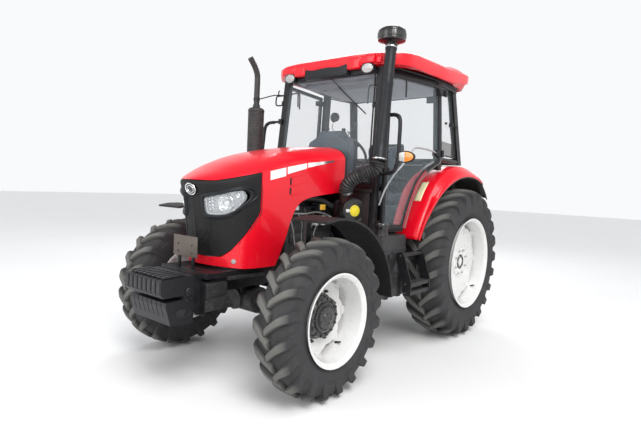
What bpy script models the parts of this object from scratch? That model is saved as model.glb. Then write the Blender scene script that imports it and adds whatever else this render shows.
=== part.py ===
"""Four-wheel-drive farm tractor with a cab, about 85 hp, modelled at full size.

Metres, +X forward, +Y to the driver's left, +Z up. The origin is on the ground,
midway between the tip of the front weights and the ends of the lower links.
Lengths named x in the helpers below are measured forward of the rear axle.
"""
import math

import bmesh
import bpy
from mathutils import Matrix, Vector

# ---------------------------------------------------------------- dimensions
REAR_AXLE = -1.0            # world X of the rear axle
WHEELBASE = 2.25
FRONT_R, FRONT_W, FRONT_Y = 0.575, 0.314, 0.848      # 12.4-24 tyre
REAR_R, REAR_W, REAR_Y = 0.772, 0.425, 0.797         # 16.9-34 tyre
FRONT_RIM_R, REAR_RIM_R = 0.335, 0.466
KINGPIN_Y = 0.66
DOOR_HINGE = (0.395, 0.81)               # x forward of the rear axle, y
HOOD_HINGE = (1.42, 1.80)                # x forward of the rear axle, z
WHEEL_C, WHEEL_N = (0.865, 0, 1.86), (-0.766, 0, 0.643)     # steering wheel centre and axis
LINK_PIVOT, ARM_PIVOT = (-0.26, 0.515), (-0.26, 1.055)      # lower links and lift arms
ARM_REACH = (-0.40, -0.0286)
TOP_LINK_PIVOT = (-0.47, 0.80)
ARM = 0.16                  # steering arm, kingpin to rod
HOOD_T = 0.016
GLASS_T = 0.008
DOOR_T = 0.034
FLOOR_Z = 1.02
GAP = 0.0004


def W(x, y, z):
    """A point given forward of the rear axle, as a world point."""
    return Vector((x + REAR_AXLE, y, z))


# ---------------------------------------------------------------- scene
for o in list(bpy.data.objects):
    bpy.data.objects.remove(o, do_unlink=True)
TRACTOR = bpy.data.collections.new("farm_tractor")
bpy.context.scene.collection.children.link(TRACTOR)

PAINT = {}


def paint(name, rgb, rough, metal=0.0, alpha=1.0):
    m = bpy.data.materials.new(name)
    m.use_nodes = True
    b = m.node_tree.nodes["Principled BSDF"]
    b.inputs["Base Color"].default_value = (*rgb, 1.0)
    b.inputs["Roughness"].default_value = rough
    b.inputs["Metallic"].default_value = metal
    b.inputs["Alpha"].default_value = alpha
    PAINT[name] = m


paint("red_paint", (0.62, 0.01, 0.02), 0.25)
paint("black_paint", (0.012, 0.012, 0.014), 0.45)
paint("cast_black", (0.02, 0.02, 0.022), 0.6)
paint("black_plastic", (0.02, 0.02, 0.022), 0.6)
paint("tyre_rubber", (0.045, 0.045, 0.045), 0.85)
paint("white_paint", (0.8, 0.8, 0.8), 0.35)
paint("clear_glass", (0.75, 0.82, 0.86), 0.05, 0.0, 0.35)
paint("lamp_glass", (0.85, 0.85, 0.86), 0.1)
paint("seat_fabric", (0.03, 0.045, 0.07), 0.85)
paint("grey_plastic", (0.12, 0.14, 0.16), 0.6)
paint("maroon_paint", (0.14, 0.01, 0.02), 0.35)
paint("steel", (0.35, 0.35, 0.36), 0.4, 1.0)


# ---------------------------------------------------------------- helpers
def emit(bm, name, material):
    bmesh.ops.recalc_face_normals(bm, faces=bm.faces)
    me = bpy.data.meshes.new(name)
    bm.to_mesh(me)
    bm.free()
    ob = bpy.data.objects.new(name, me)
    TRACTOR.objects.link(ob)
    me.materials.append(PAINT[material])
    return ob


def bake(ob):
    """Replaces the object by its evaluated mesh, with loose caps welded."""
    bpy.context.view_layer.update()
    dg = bpy.context.evaluated_depsgraph_get()
    me = bpy.data.meshes.new_from_object(ob.evaluated_get(dg))
    me.transform(ob.matrix_world)
    bm = bmesh.new()
    bm.from_mesh(me)
    bmesh.ops.remove_doubles(bm, verts=bm.verts, dist=0.00005)
    bmesh.ops.recalc_face_normals(bm, faces=bm.faces)
    bm.to_mesh(me)
    bm.free()
    name, mats = ob.name, [m for m in ob.data.materials]
    bpy.data.objects.remove(ob, do_unlink=True)
    new = bpy.data.objects.new(name, me)
    TRACTOR.objects.link(new)
    if not me.materials:
        for m in mats:
            me.materials.append(m)
    return new


def box(name, lo, hi, material, bevel=0.0):
    """Box between two corners given forward of the rear axle."""
    lo, hi = W(*lo), W(*hi)
    bm = bmesh.new()
    bmesh.ops.create_cube(bm, size=1.0)
    size = hi - lo
    bmesh.ops.transform(bm, matrix=Matrix.Translation((lo + hi) / 2)
                        @ Matrix.Diagonal((size.x, size.y, size.z, 1)), verts=bm.verts)
    ob = emit(bm, name, material)
    if bevel:
        m = ob.modifiers.new("edge", "BEVEL")
        m.width, m.segments, m.limit_method = bevel, 1, "ANGLE"
    return ob


def rod(name, a, b, r, material, r2=None, seg=16):
    """Round bar or cone between two points given forward of the rear axle."""
    a, b = W(*a), W(*b)
    d = b - a
    bm = bmesh.new()
    bmesh.ops.create_cone(bm, cap_ends=True, segments=seg, radius1=r,
                          radius2=r if r2 is None else r2, depth=d.length)
    rotation = d.to_track_quat("Z", "Y").to_matrix().to_4x4()
    bmesh.ops.transform(bm, matrix=Matrix.Translation((a + b) / 2) @ rotation, verts=bm.verts)
    return emit(bm, name, material)


def wire(name, points, r, material, res=2):
    """Bent tube through points given forward of the rear axle."""
    cu = bpy.data.curves.new(name, "CURVE")
    cu.dimensions = "3D"
    cu.bevel_depth, cu.bevel_resolution, cu.use_fill_caps = r, res, True
    sp = cu.splines.new("POLY")
    sp.points.add(len(points) - 1)
    for p, q in zip(sp.points, points):
        p.co = (*W(*q), 1)
    ob = bpy.data.objects.new(name, cu)
    cu.materials.append(PAINT[material])
    TRACTOR.objects.link(ob)
    return bake(ob)


def plate(name, outline, t, frame, material, holes=()):
    """Flat plate: a filled 2D outline extruded to thickness t, then placed by a matrix."""
    cu = bpy.data.curves.new(name, "CURVE")
    cu.dimensions, cu.fill_mode, cu.extrude = "2D", "BOTH", t / 2
    for loop in (outline, *holes):
        sp = cu.splines.new("POLY")
        sp.points.add(len(loop) - 1)
        for p, q in zip(sp.points, loop):
            p.co = (q[0], q[1], 0, 1)
        sp.use_cyclic_u = True
    ob = bpy.data.objects.new(name, cu)
    ob.matrix_world = frame
    cu.materials.append(PAINT[material])
    TRACTOR.objects.link(ob)
    return bake(ob)


def side_plate(name, outline_xz, y0, y1, material, holes=()):
    """Plate drawn in side view: outline points are x forward of the rear axle and z."""
    y0, y1 = min(y0, y1), max(y0, y1)
    frame = Matrix.Translation((REAR_AXLE, (y0 + y1) / 2, 0)) @ Matrix.Rotation(math.radians(90), 4, "X")
    return plate(name, outline_xz, y1 - y0, frame, material, holes)


def top_plate(name, outline_xy, z0, z1, material, holes=()):
    frame = Matrix.Translation((REAR_AXLE, 0, (z0 + z1) / 2))
    return plate(name, outline_xy, z1 - z0, frame, material, holes)


def panel_frame(p, u_to, v_to):
    """Matrix whose x axis runs from p towards u_to, and whose xy plane holds v_to."""
    p, u_to, v_to = W(*p), W(*u_to), W(*v_to)
    u = (u_to - p).normalized()
    n = u.cross(v_to - p).normalized()
    v = n.cross(u)
    return Matrix.Translation(p) @ Matrix((u, v, n)).transposed().to_4x4()


def in_frame(frame, p):
    q = frame.inverted() @ W(*p)
    return (q.x, q.y)


def turned(name, profile, centre, side, material, steps=32):
    """Closed profile of (radius, offset outward) turned about the wheel axis at centre. side is +1 or -1."""
    area = sum(profile[i][0] * profile[(i + 1) % len(profile)][1]
               - profile[(i + 1) % len(profile)][0] * profile[i][1] for i in range(len(profile)))
    if area > 0:
        profile = profile[::-1]
    me = bpy.data.meshes.new(name)
    n = len(profile)
    me.from_pydata([(r, 0, t) for r, t in profile], [(i, (i + 1) % n) for i in range(n)], [])
    ob = bpy.data.objects.new(name, me)
    me.materials.append(PAINT[material])
    TRACTOR.objects.link(ob)
    m = ob.modifiers.new("turn", "SCREW")
    m.steps = m.render_steps = steps
    m.use_merge_vertices, m.merge_threshold = True, 0.0001
    ob.location = W(*centre)
    ob.rotation_euler = (math.radians(-90 * side), 0, 0)
    return bake(ob)


def combine(name, parts, op="UNION"):
    """Boolean of the first part with the others, which are removed."""
    base = parts[0]
    for other in parts[1:]:
        m = base.modifiers.new("b", "BOOLEAN")
        m.operation, m.solver, m.object = op, "EXACT", other
    material = base.data.materials[0]
    bpy.context.view_layer.update()
    dg = bpy.context.evaluated_depsgraph_get()
    me = bpy.data.meshes.new_from_object(base.evaluated_get(dg))
    me.transform(base.matrix_world)
    for p in parts:
        bpy.data.objects.remove(p, do_unlink=True)
    me.materials.clear()
    me.materials.append(material)
    ob = bpy.data.objects.new(name, me)
    TRACTOR.objects.link(ob)
    return ob


def cut(name, base, *cutters):
    return combine(name, [base, *cutters], "DIFFERENCE")


def keep(name, base, region):
    return combine(name, [base, region], "INTERSECT")


def mirrored(ob, name):
    """The same piece on the other side of the tractor."""
    ob = bake(ob) if ob.modifiers else ob
    me = ob.data.copy()
    me.transform(Matrix.Diagonal((1, -1, 1, 1)))
    me.flip_normals()
    new = bpy.data.objects.new(name, me)
    TRACTOR.objects.link(new)
    return new


def arc(cx, cz, r, a0, a1, n):
    """Points of an arc, angles in degrees from +X towards +Z."""
    return [(cx + r * math.cos(math.radians(a0 + (a1 - a0) * i / n)),
             cz + r * math.sin(math.radians(a0 + (a1 - a0) * i / n))) for i in range(n + 1)]


def lerp(table, x):
    for (x0, v0), (x1, v1) in zip(table, table[1:]):
        if x <= x1:
            t = (x - x0) / (x1 - x0)
            return v0 + (v1 - v0) * max(0.0, t)
    return table[-1][1]


# ---------------------------------------------------------------- wheels
def tyre(name, x, y, side, R, w, rim_r, steps):
    h = w / 2
    bead = rim_r - 0.012
    wall = [(bead, -0.80 * h), (rim_r + 0.02, -0.90 * h), (rim_r + 0.45 * (R - rim_r), -1.0 * h),
            (R - 0.065, -0.97 * h), (R - 0.012, -0.84 * h), (R, -0.5 * h)]
    profile = wall + [(r, -t) for r, t in reversed(wall)] + [(bead - 0.018, 0.62 * h), (bead - 0.018, -0.62 * h)]
    return turned(name, profile, (x, y, R), side, "tyre_rubber", steps)


def front_rim(name, side):
    """Front wheel: rim, welded disc and the planetary hub that turns with it."""
    h = FRONT_W / 2
    r = FRONT_RIM_R
    profile = [(r - 0.020, -0.76 * h), (r, -0.93 * h), (r - 0.010, -0.98 * h), (r - 0.034, -0.90 * h), (r - 0.040, -0.60 * h),
               (r - 0.050, -0.062), (0.152, -0.066), (0.150, -0.115), (0.100, -0.115), (0.100, 0.018),
               (0.0, 0.018), (0.0, 0.045), (0.085, 0.045), (0.092, 0.022), (0.140, 0.016), (0.148, 0.0), (0.150, -0.050),
               (r - 0.065, -0.048), (r - 0.044, -0.025), (r - 0.034, 0.90 * h), (r - 0.010, 0.98 * h), (r, 0.93 * h), (r - 0.020, 0.76 * h),
               (r - 0.033, 0.60 * h), (r - 0.033, -0.60 * h)]
    return turned(name, profile, (WHEELBASE, side * FRONT_Y, FRONT_R), side, "white_paint", 32)


def rear_rim(name, side):
    h = REAR_W / 2
    r = REAR_RIM_R
    profile = [(r - 0.020, -0.76 * h), (r, -0.93 * h), (r - 0.010, -0.98 * h), (r - 0.036, -0.90 * h), (r - 0.045, -0.50 * h),
               (r - 0.052, 0.030), (0.205, 0.062), (0.110, 0.062), (0.110, -0.200), (0.0, -0.200),
               (0.0, 0.098), (0.072, 0.098), (0.078, 0.078), (0.205, 0.078), (r - 0.070, 0.046), (r - 0.050, 0.060), (r - 0.040, 0.72 * h),
               (r - 0.036, 0.90 * h), (r - 0.010, 0.98 * h), (r, 0.93 * h), (r - 0.020, 0.76 * h),
               (r - 0.033, 0.60 * h), (r - 0.033, -0.60 * h)]
    return turned(name, profile, (0, side * REAR_Y, REAR_R), side, "white_paint", 36)


for side, label in ((1, "left"), (-1, "right")):
    tyre("front_tyre_" + label, WHEELBASE, side * FRONT_Y, side, FRONT_R, FRONT_W, FRONT_RIM_R, 36)
    tyre("rear_tyre_" + label, 0, side * REAR_Y, side, REAR_R, REAR_W, REAR_RIM_R, 40)
    front_rim("front_rim_" + label, side)
    rear_rim("rear_rim_" + label, side)

# ---------------------------------------------------------------- driveline and front frame
box("engine_block", (1.36, -0.21, 0.62), (2.02, 0.21, 1.32), "cast_black", 0.02)

gearbox = [
    side_plate("t0", [(-0.42, 0.52), (0.35, 0.50), (0.60, 0.60), (1.3596, 0.60), (1.3596, 0.94), (0.50, 0.96),
                      (0.20, 0.98), (-0.20, 1.00), (-0.42, 0.96)], -0.17, 0.17, "cast_black"),
    rod("t1", (0, -0.589, REAR_R), (0, 0.589, REAR_R), 0.125, "cast_black", seg=20),
    rod("t2", (0, -0.30, REAR_R), (0, 0.30, REAR_R), 0.19, "cast_black", seg=20),
    rod("t3", (-0.40, 0, 0.62), (-0.56, 0, 0.62), 0.030, "steel", seg=12),
    side_plate("t4", [(-0.40, 0.72), (-0.40, 0.75), (-0.60, 0.74), (-0.60, 0.71)], -0.12, 0.12, "cast_black"),
    box("t5", (-0.95, -0.035, 0.385), (0.20, 0.035, 0.42), "cast_black"),
    side_plate("t6", [(-0.42, 0.55), (-0.42, 0.375), (-0.28, 0.375), (-0.28, 0.55)], -0.06, 0.06, "cast_black"),
    side_plate("t7", [(0.16, 0.52), (0.06, 0.375), (0.20, 0.375), (0.30, 0.52)], -0.06, 0.06, "cast_black"),
    box("t8", (-0.36, -0.215, 0.94), (0.05, 0.215, 1.005), "cast_black"),
    rod("t9", (-0.26, -0.205, 0.515), (-0.26, 0.205, 0.515), 0.028, "cast_black", seg=12),
]
combine("transmission_housing", gearbox)

frame_parts = [
    side_plate("f0", [(2.025, 0.70), (2.68, 0.70), (2.68, 0.86), (2.025, 0.90)], 0.15, 0.19, "cast_black"),
    side_plate("f1", [(2.025, 0.70), (2.68, 0.70), (2.68, 0.86), (2.025, 0.90)], -0.19, -0.15, "cast_black"),
    box("f2", (2.025, -0.17, 0.66), (2.075, 0.17, 0.90), "cast_black"),
    side_plate("f3", [(2.64, 0.62), (2.86, 0.56), (2.90, 0.60), (2.90, 0.86), (2.64, 0.86)], -0.205, 0.205, "cast_black"),
    box("f4", (2.12, -0.17, 0.70), (2.38, 0.17, 0.78), "cast_black"),
    side_plate("f5", [(2.66, 0.60), (2.84, 0.56), (2.84, 0.80), (2.66, 0.83)], 0.18, 0.265, "cast_black"),
    side_plate("f6", [(2.66, 0.60), (2.84, 0.56), (2.84, 0.80), (2.66, 0.83)], -0.265, -0.18, "cast_black"),
    box("f7", (2.30, -0.28, 0.822), (2.84, 0.28, 0.862), "cast_black"),
]
combine("front_frame", frame_parts)

beam = [
    rod("a0", (WHEELBASE, -0.53, FRONT_R), (WHEELBASE, 0.53, FRONT_R), 0.062, "cast_black", seg=16),
    rod("a1", (WHEELBASE, -0.20, FRONT_R), (WHEELBASE, 0.20, FRONT_R), 0.105, "cast_black", seg=16),
    rod("a2", (WHEELBASE - 0.13, 0.02, FRONT_R), (WHEELBASE + 0.12, 0.02, FRONT_R), 0.085, "cast_black", seg=16),
    box("a3", (WHEELBASE - 0.10, -0.09, 0.62), (WHEELBASE + 0.10, 0.09, 0.694), "cast_black"),
]
for s in (1, -1):
    beam.append(rod("a4", (WHEELBASE, s * 0.46, FRONT_R), (WHEELBASE, s * 0.545, FRONT_R), 0.075, "cast_black", r2=0.105, seg=16))
    for z0, z1 in ((0.668, 0.702), (0.448, 0.482)):
        beam.append(box("a5", (WHEELBASE - 0.055, min(s * 0.50, s * 0.675), z0), (WHEELBASE + 0.055, max(s * 0.50, s * 0.675), z1), "cast_black"))
combine("front_axle_beam", beam)

knuckle = [
    rod("k0", (WHEELBASE, KINGPIN_Y, 0.489), (WHEELBASE, KINGPIN_Y, 0.661), 0.058, "cast_black", seg=16),
    rod("k1", (WHEELBASE, KINGPIN_Y, FRONT_R), (WHEELBASE, 0.729, FRONT_R), 0.062, "cast_black", r2=0.085, seg=16),
    rod("k1b", (WHEELBASE, 0.70, FRONT_R), (WHEELBASE, 0.858, FRONT_R), 0.085, "cast_black", seg=16),
    box("k2", (WHEELBASE - ARM - 0.03, KINGPIN_Y - 0.03, 0.53), (WHEELBASE, KINGPIN_Y + 0.03, 0.56), "cast_black"),
    # arm that carries the fender, behind the kingpin
    side_plate("k3", [(2.22, 0.575), (2.22, 0.625), (2.150, 0.640), (2.150, 0.760), (2.262, 0.900), (2.262, 1.275), (2.205, 1.275),
                      (2.205, 0.920), (2.110, 0.790), (2.110, 0.610), (2.140, 0.575)], KINGPIN_Y - 0.014, KINGPIN_Y + 0.010, "cast_black"),
]
combine("steering_knuckle_left", knuckle)
mirrored(bpy.data.objects["steering_knuckle_left"], "steering_knuckle_right")

outer = arc(WHEELBASE, FRONT_R, 0.718, 76, 175, 12)
inner = arc(WHEELBASE, FRONT_R, 0.702, 175, 76, 12)
fl = side_plate("g1", outer + inner, 0.672, 0.992, "black_plastic")
tab = side_plate("g2", [(2.19, 1.235), (2.27, 1.235), (2.27, 1.285), (2.19, 1.285)], 0.6725, 0.70, "black_plastic")
ff = combine("front_fender_left", [fl, tab])
mirrored(ff, "front_fender_right")

sleeve = combine("c0", [rod("c1", (WHEELBASE - ARM, -0.20, 0.50), (WHEELBASE - ARM, 0.20, 0.50), 0.040, "cast_black", seg=16),
                        box("c2", (WHEELBASE - ARM - 0.02, -0.05, 0.50), (WHEELBASE - 0.05, 0.05, 0.56), "cast_black"),
                        bpy.data.objects["front_axle_beam"]])
cut("front_axle_beam", sleeve, rod("c3", (WHEELBASE - ARM, -0.3, 0.50), (WHEELBASE - ARM, 0.3, 0.50), 0.023, "cast_black", seg=16))
combine("steering_rod", [rod("s0", (WHEELBASE - ARM, -KINGPIN_Y, 0.50), (WHEELBASE - ARM, KINGPIN_Y, 0.50), 0.017, "steel", seg=12),
                         rod("s1", (WHEELBASE - ARM, KINGPIN_Y, 0.478), (WHEELBASE - ARM, KINGPIN_Y, 0.525), 0.028, "steel", seg=12),
                         rod("s2", (WHEELBASE - ARM, -KINGPIN_Y, 0.478), (WHEELBASE - ARM, -KINGPIN_Y, 0.525), 0.028, "steel", seg=12)])

# ---------------------------------------------------------------- front weights: eight suitcase plates on a rail
side_shape = [(2.905, 0.855), (3.165, 0.845), (3.165, 0.745), (3.14, 0.720), (2.985, 0.725), (2.985, 0.695), (3.125, 0.690),
              (3.125, 0.66), (3.085, 0.53), (2.93, 0.515), (2.905, 0.53)]
weights = [side_plate("w0", side_shape, -0.222, 0.222, "cast_black")]
for i in range(7):
    yc = -0.222 + 0.444 * (i + 1) / 8
    for lo, hi in (((2.96, 0.82), (3.2, 0.88)), ((3.10, 0.50), (3.2, 0.70)), ((3.145, 0.70), (3.2, 0.88))):
        weights.append(box("w1", (lo[0], yc - 0.003, lo[1]), (hi[0], yc + 0.003, hi[1]), "cast_black"))
cut("front_weights", *weights)

# ---------------------------------------------------------------- hood
HALF_WIDTH = [(1.40, 0.352), (1.9, 0.362), (2.3, 0.370), (2.45, 0.366), (2.56, 0.345), (2.64, 0.305), (2.70, 0.250), (2.75, 0.180), (2.785, 0.105), (2.80, 0.0)]
TOP = [(1.40, 1.870), (1.7, 1.845), (2.0, 1.800), (2.3, 1.735), (2.5, 1.665), (2.64, 1.600), (2.74, 1.548), (2.785, 1.518), (2.80, 1.500)]
SHOULDER = [(1.40, 1.74), (2.0, 1.68), (2.3, 1.61), (2.5, 1.545), (2.64, 1.505), (2.74, 1.485), (2.80, 1.475)]


def hood_point(x, v):
    """v from 0 at the foot of the side to 1 at the shoulder, then to 2 on the centre line."""
    w, top, sh = lerp(HALF_WIDTH, x), lerp(TOP, x), lerp(SHOULDER, x)
    if v <= 1:
        z = 0.85 + (sh - 0.85) * v
        y = w * (1 - 0.05 * (1 - v) ** 2)
    else:
        a = (v - 1) * math.pi / 2
        y = w * math.cos(a) ** lerp([(1.4, 0.62), (2.2, 0.78), (2.8, 1.0)], x) if v < 2 else 0.0
        z = sh + (top - sh) * math.sin(a) ** 1.0
    lean = max(0.0, (x - 2.3) / 0.5)
    shift = -0.10 * lean * max(0.0, (1.48 - z) / 0.6) + 0.02 * lean * max(0.0, 1 - abs(z - 1.5) / 0.1)
    return W(x + shift, max(y, 0.0), z)


stations = [1.40, 1.70, 2.0, 2.3, 2.45, 2.56, 2.64, 2.70, 2.75, 2.785, 2.80]
levels = [0, 0.35, 0.7, 1.0, 1.25, 1.5, 1.75, 2.0]


def hood_shell(name):
    bm = bmesh.new()
    grid = [[bm.verts.new(hood_point(x, v)) for v in levels] for x in stations]
    for a, b in zip(grid, grid[1:]):
        for i in range(len(levels) - 1):
            bm.faces.new((a[i], b[i], b[i + 1], a[i + 1]))
    bmesh.ops.remove_doubles(bm, verts=bm.verts, dist=0.0001)
    bmesh.ops.dissolve_degenerate(bm, edges=bm.edges, dist=0.0001)
    bmesh.ops.recalc_face_normals(bm, faces=bm.faces)
    me = bpy.data.meshes.new(name)
    bm.to_mesh(me)
    bm.free()
    ob = bpy.data.objects.new(name, me)
    me.materials.append(PAINT["red_paint"])
    TRACTOR.objects.link(ob)
    m = ob.modifiers.new("mirror", "MIRROR")
    m.use_axis = (False, True, False)
    m.merge_threshold = 0.0001
    s = ob.modifiers.new("shell", "SOLIDIFY")
    s.thickness, s.offset, s.use_even_offset, s.use_quality_normals = HOOD_T, -1.0, False, True
    ob = bake(ob)
    return ob


# side-view outlines
BLACK_FRONT = [(2.43, 1.592), (2.43, 1.30), (2.60, 1.045), (2.645, 0.955), (3.0, 0.93), (3.0, 1.515), (2.74, 1.515), (2.60, 1.552)]
BLACK_SMALL = [(2.433, 1.588), (2.433, 1.302), (2.603, 1.048), (2.648, 0.958), (3.0, 0.933), (3.0, 1.512), (2.74, 1.512), (2.60, 1.549)]
KEEP_RED = [(1.395, 1.47), (1.90, 1.40), (2.02, 1.35), (2.10, 1.22), (2.15, 1.08), (2.25, 0.872), (2.55, 0.872), (2.80, 0.90), (3.0, 0.90), (3.0, 2.0), (1.395, 2.0)]
shell = keep("hood_k", hood_shell("hood_a"), side_plate("hk", KEEP_RED, -0.6, 0.6, "red_paint"))
cut("hood_shell", shell, side_plate("hc", BLACK_FRONT, -0.6, 0.6, "red_paint"))
grille_all = keep("grille_k", hood_shell("hood_b"), side_plate("gk", BLACK_SMALL, -0.6, 0.6, "black_plastic"))

# lamp pockets, one each side
LAMP = [(0.115, 1.275), (0.115, 1.395), (0.22, 1.415), (0.335, 1.455), (0.345, 1.38), (0.28, 1.285), (0.20, 1.262)]


def front_plate(name, outline_yz, x0, x1, material):
    frame = Matrix.Translation((REAR_AXLE + (x0 + x1) / 2, 0, 0)) @ Matrix(((0, 0, 1, 0), (1, 0, 0, 0), (0, 1, 0, 0), (0, 0, 0, 1)))
    return plate(name, outline_yz, x1 - x0, frame, material)


lamp_l = front_plate("lp", LAMP, 2.50, 2.95, "lamp_glass")
lamp_r = front_plate("lq", [(-y, z) for y, z in LAMP], 2.50, 2.95, "lamp_glass")
body = cut("grille", grille_all, lamp_l, lamp_r)
body.data.materials[0] = PAINT["black_plastic"]


def lamp(name, s):
    small = [(s * (0.23 + (y - 0.23) * 0.975), 1.352 + (z - 1.352) * 0.96) for y, z in LAMP]
    if s < 0:
        small = small[::-1]
    ob = keep(name, hood_shell("hood_c"), front_plate("lr", small, 2.50, 2.95, "lamp_glass"))
    ob.data.materials[0] = PAINT["lamp_glass"]
    return ob


lamp("headlight_left", 1)
lamp("headlight_right", -1)

# ---------------------------------------------------------------- cab
A_LO, A_HI = (1.32, 0.615, 1.06), (1.2004, 0.5652, 2.595)
A_MID = (1.285, 0.602, 1.50)
B_LO, B_HI = (0.378, 0.749, 1.72), (0.390, 0.7055, 2.60)
C_LO, C_HI = (-0.20, 0.700, 1.80), (-0.06, 0.650, 2.60)


def mir(p):
    return (p[0], -p[1], p[2])


def post(name, a, b, w, d):
    """Box section post between two points, w along X and d across."""
    a, b = W(*a), W(*b)
    bm = bmesh.new()
    bmesh.ops.create_cube(bm, size=1.0)
    for v in bm.verts:
        base = a if v.co.z < 0 else b
        v.co = base + Vector((v.co.x * w, v.co.y * d, 0))
    return emit(bm, name, "black_paint")


def side_y(x, z, out=0.0):
    """Slanted plane through the centres of the A and B posts, pushed outwards."""
    return 0.565 - 0.1734 * (x - 1.20) - 0.046 * (z - 2.60) + out


def side_matrix(out):
    return panel_frame((0.75, side_y(0.75, 1.8, out), 1.8), (1.75, side_y(1.75, 1.8, out), 1.8),
                       (0.75, side_y(0.75, 2.8, out), 2.8))


def slab(name, outline, out, t, material, holes=()):
    """Plate in the slanted side plane, drawn with x forward of the rear axle and z."""
    f = side_matrix(out)
    conv = lambda loop: [in_frame(f, (x, side_y(x, z, out), z)) for x, z in loop]
    return plate(name, conv(outline), t, f, material, [conv(h) for h in holes])


def inset(loop, d):
    """The outline moved inwards by d. The loop runs anticlockwise in its own plane."""
    out = []
    n = len(loop)
    for i in range(n):
        p0, p1, p2 = Vector(loop[i - 1]), Vector(loop[i]), Vector(loop[(i + 1) % n])
        a, b = (p1 - p0).normalized(), (p2 - p1).normalized()
        na, nb = Vector((-a.y, a.x)), Vector((-b.y, b.x))
        m = (na + nb) / (1 + na.dot(nb))
        out.append(tuple(p1 + m * d))
    return out


# door edge: sill, then round the rear fender, then up the B post
DOOR_LOWER = [(0.425, 1.830), (0.445, 1.785), (0.528, 1.744), (0.643, 1.679), (0.762, 1.571), (0.838, 1.442),
              (0.894, 1.328), (0.945, 1.200), (0.962, 1.150)]
DOOR = DOOR_LOWER + [(1.268, 1.150), (1.180, 2.545), (0.438, 2.545)]

posts = []
for m in (lambda p: p, mir):
    posts += [post("p", m(A_LO), m(A_HI), 0.062, 0.062), post("p", m(B_LO), m(B_HI), 0.075, 0.055),
              post("p", m(C_LO), m(C_HI), 0.080, 0.060)]
    hoop = [(1.240, 0.588, 2.150), (1.264, 0.660, 2.155), (1.268, 0.780, 2.145), (1.276, 0.825, 2.100), (1.300, 0.835, 1.750),
            (1.305, 0.800, 1.660), (1.305, 0.660, 1.630), (1.276, 0.598, 1.620)]
    posts.append(wire("p", [m(q) for q in hoop], 0.013, "black_paint", res=1))
# roof frame: a ring that the posts run into
ring_out = [(1.205, 0.565), (0.35, 0.742), (-0.10, 0.690), (-0.10, -0.690), (0.35, -0.742), (1.205, -0.565)]
ring_in = [(1.165, 0.520), (0.35, 0.660), (-0.02, 0.600), (-0.02, -0.600), (0.35, -0.660), (1.165, -0.520)]
posts.append(top_plate("p", ring_out, 2.565, 2.625, "black_paint", [ring_in]))
# waist rails over the fenders, rear beam, sills and the curved door jamb
jamb_out = [(0.360, 1.800), (0.385, 1.752), (0.500, 1.704), (0.608, 1.644), (0.722, 1.541), (0.796, 1.421), (0.852, 1.308), (0.902, 1.184), (0.920, 1.115)]
jamb_in = [(1.300, 1.115), (1.300, 1.165), (0.976, 1.165), (0.958, 1.206), (0.908, 1.334), (0.852, 1.449), (0.775, 1.580), (0.652, 1.691), (0.536, 1.757), (0.455, 1.797), (0.410, 1.850)]
jamb = slab("p", jamb_out + jamb_in, 0.0, 0.040, "black_paint")
posts += [jamb, mirrored(jamb, "p")]
for s_ in (1, -1):
    posts.append(wire("p", [(0.375, s_ * 0.747, 1.828), (-0.19, s_ * 0.700, 1.828)], 0.027, "black_paint", res=1))
posts.append(box("p", (-0.235, -0.71, 1.801), (-0.165, 0.71, 1.855), "black_paint"))
posts.append(box("p", (1.29, -0.64, 1.06), (1.345, 0.64, 1.12), "black_paint"))
posts.append(box("p", (1.262, -0.60, 1.50), (1.312, 0.60, 1.545), "black_paint"))
combine("cab_frame", posts)

# floor and side walls inside the fenders, with the front bulkhead
floor = [
    box("q0", (-0.16, -0.545, FLOOR_Z), (1.285, 0.545, FLOOR_Z + 0.03), "black_paint"),
    side_plate("q1", [(-0.16, FLOOR_Z), (0.72, FLOOR_Z), (0.74, 1.25), (0.55, 1.48), (0.36, 1.66), (0.25, 1.795), (-0.16, 1.795)], 0.520, 0.545, "black_paint"),
    side_plate("q2", [(-0.16, FLOOR_Z), (0.72, FLOOR_Z), (0.74, 1.25), (0.55, 1.48), (0.36, 1.66), (0.25, 1.795), (-0.16, 1.795)], -0.545, -0.520, "black_paint"),
    box("q3", (-0.16, -0.545, FLOOR_Z), (-0.135, 0.545, 1.795), "black_paint"),
    box("q4", (1.255, -0.30, FLOOR_Z), (1.285, 0.30, 1.49), "black_paint"),
]
combine("cab_floor", floor)

# roof cap
ROOF = [(1.315, 0.22), (1.300, 0.44), (1.280, 0.550), (1.170, 0.720), (1.09, 0.765), (0.95, 0.780), (0.35, 0.805),
        (-0.18, 0.775), (-0.29, 0.66), (-0.33, 0.30)]
ROOF = ROOF + [(x, -y) for x, y in reversed(ROOF)]
bm = bmesh.new()
rings = []
for inset_by, z, lift in ((0.022, 2.629, 0.0), (0.020, 2.604, 1.0), (0.0, 2.604, 1.0), (-0.004, 2.660, 0.9), (-0.002, 2.710, 0.4),
                          (0.055, 2.750, 0.0), (0.20, 2.780, 0.0), (0.42, 2.795, 0.0)):
    ring = []
    for x, y in ROOF:
        k = 1 - inset_by / 0.75
        rise = 0.085 * max(0.0, (0.25 - x) / 0.58) * lift
        ring.append(bm.verts.new(W(0.45 + (x - 0.45) * k, y * k, min(z + rise, 2.740))) if inset_by < 0.05
                    else bm.verts.new(W(0.45 + (x - 0.45) * k, y * k, z - 0.025 * max(0.0, (x - 0.9) / 0.4))))
    rings.append(ring)
for a, b in zip(rings, rings[1:]):
    for i in range(len(a)):
        j = (i + 1) % len(a)
        bm.faces.new((a[i], a[j], b[j], b[i]))
bm.faces.new(rings[-1])
bm.faces.new(rings[0][::-1])
emit(bm, "cab_roof", "red_paint")

# fixed glass
def glass_plate(name, corners, material="clear_glass", t=GLASS_T, holes=()):
    f = panel_frame(corners[0], corners[1], corners[2])
    return plate(name, [in_frame(f, p) for p in corners], t, f, material)



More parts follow.
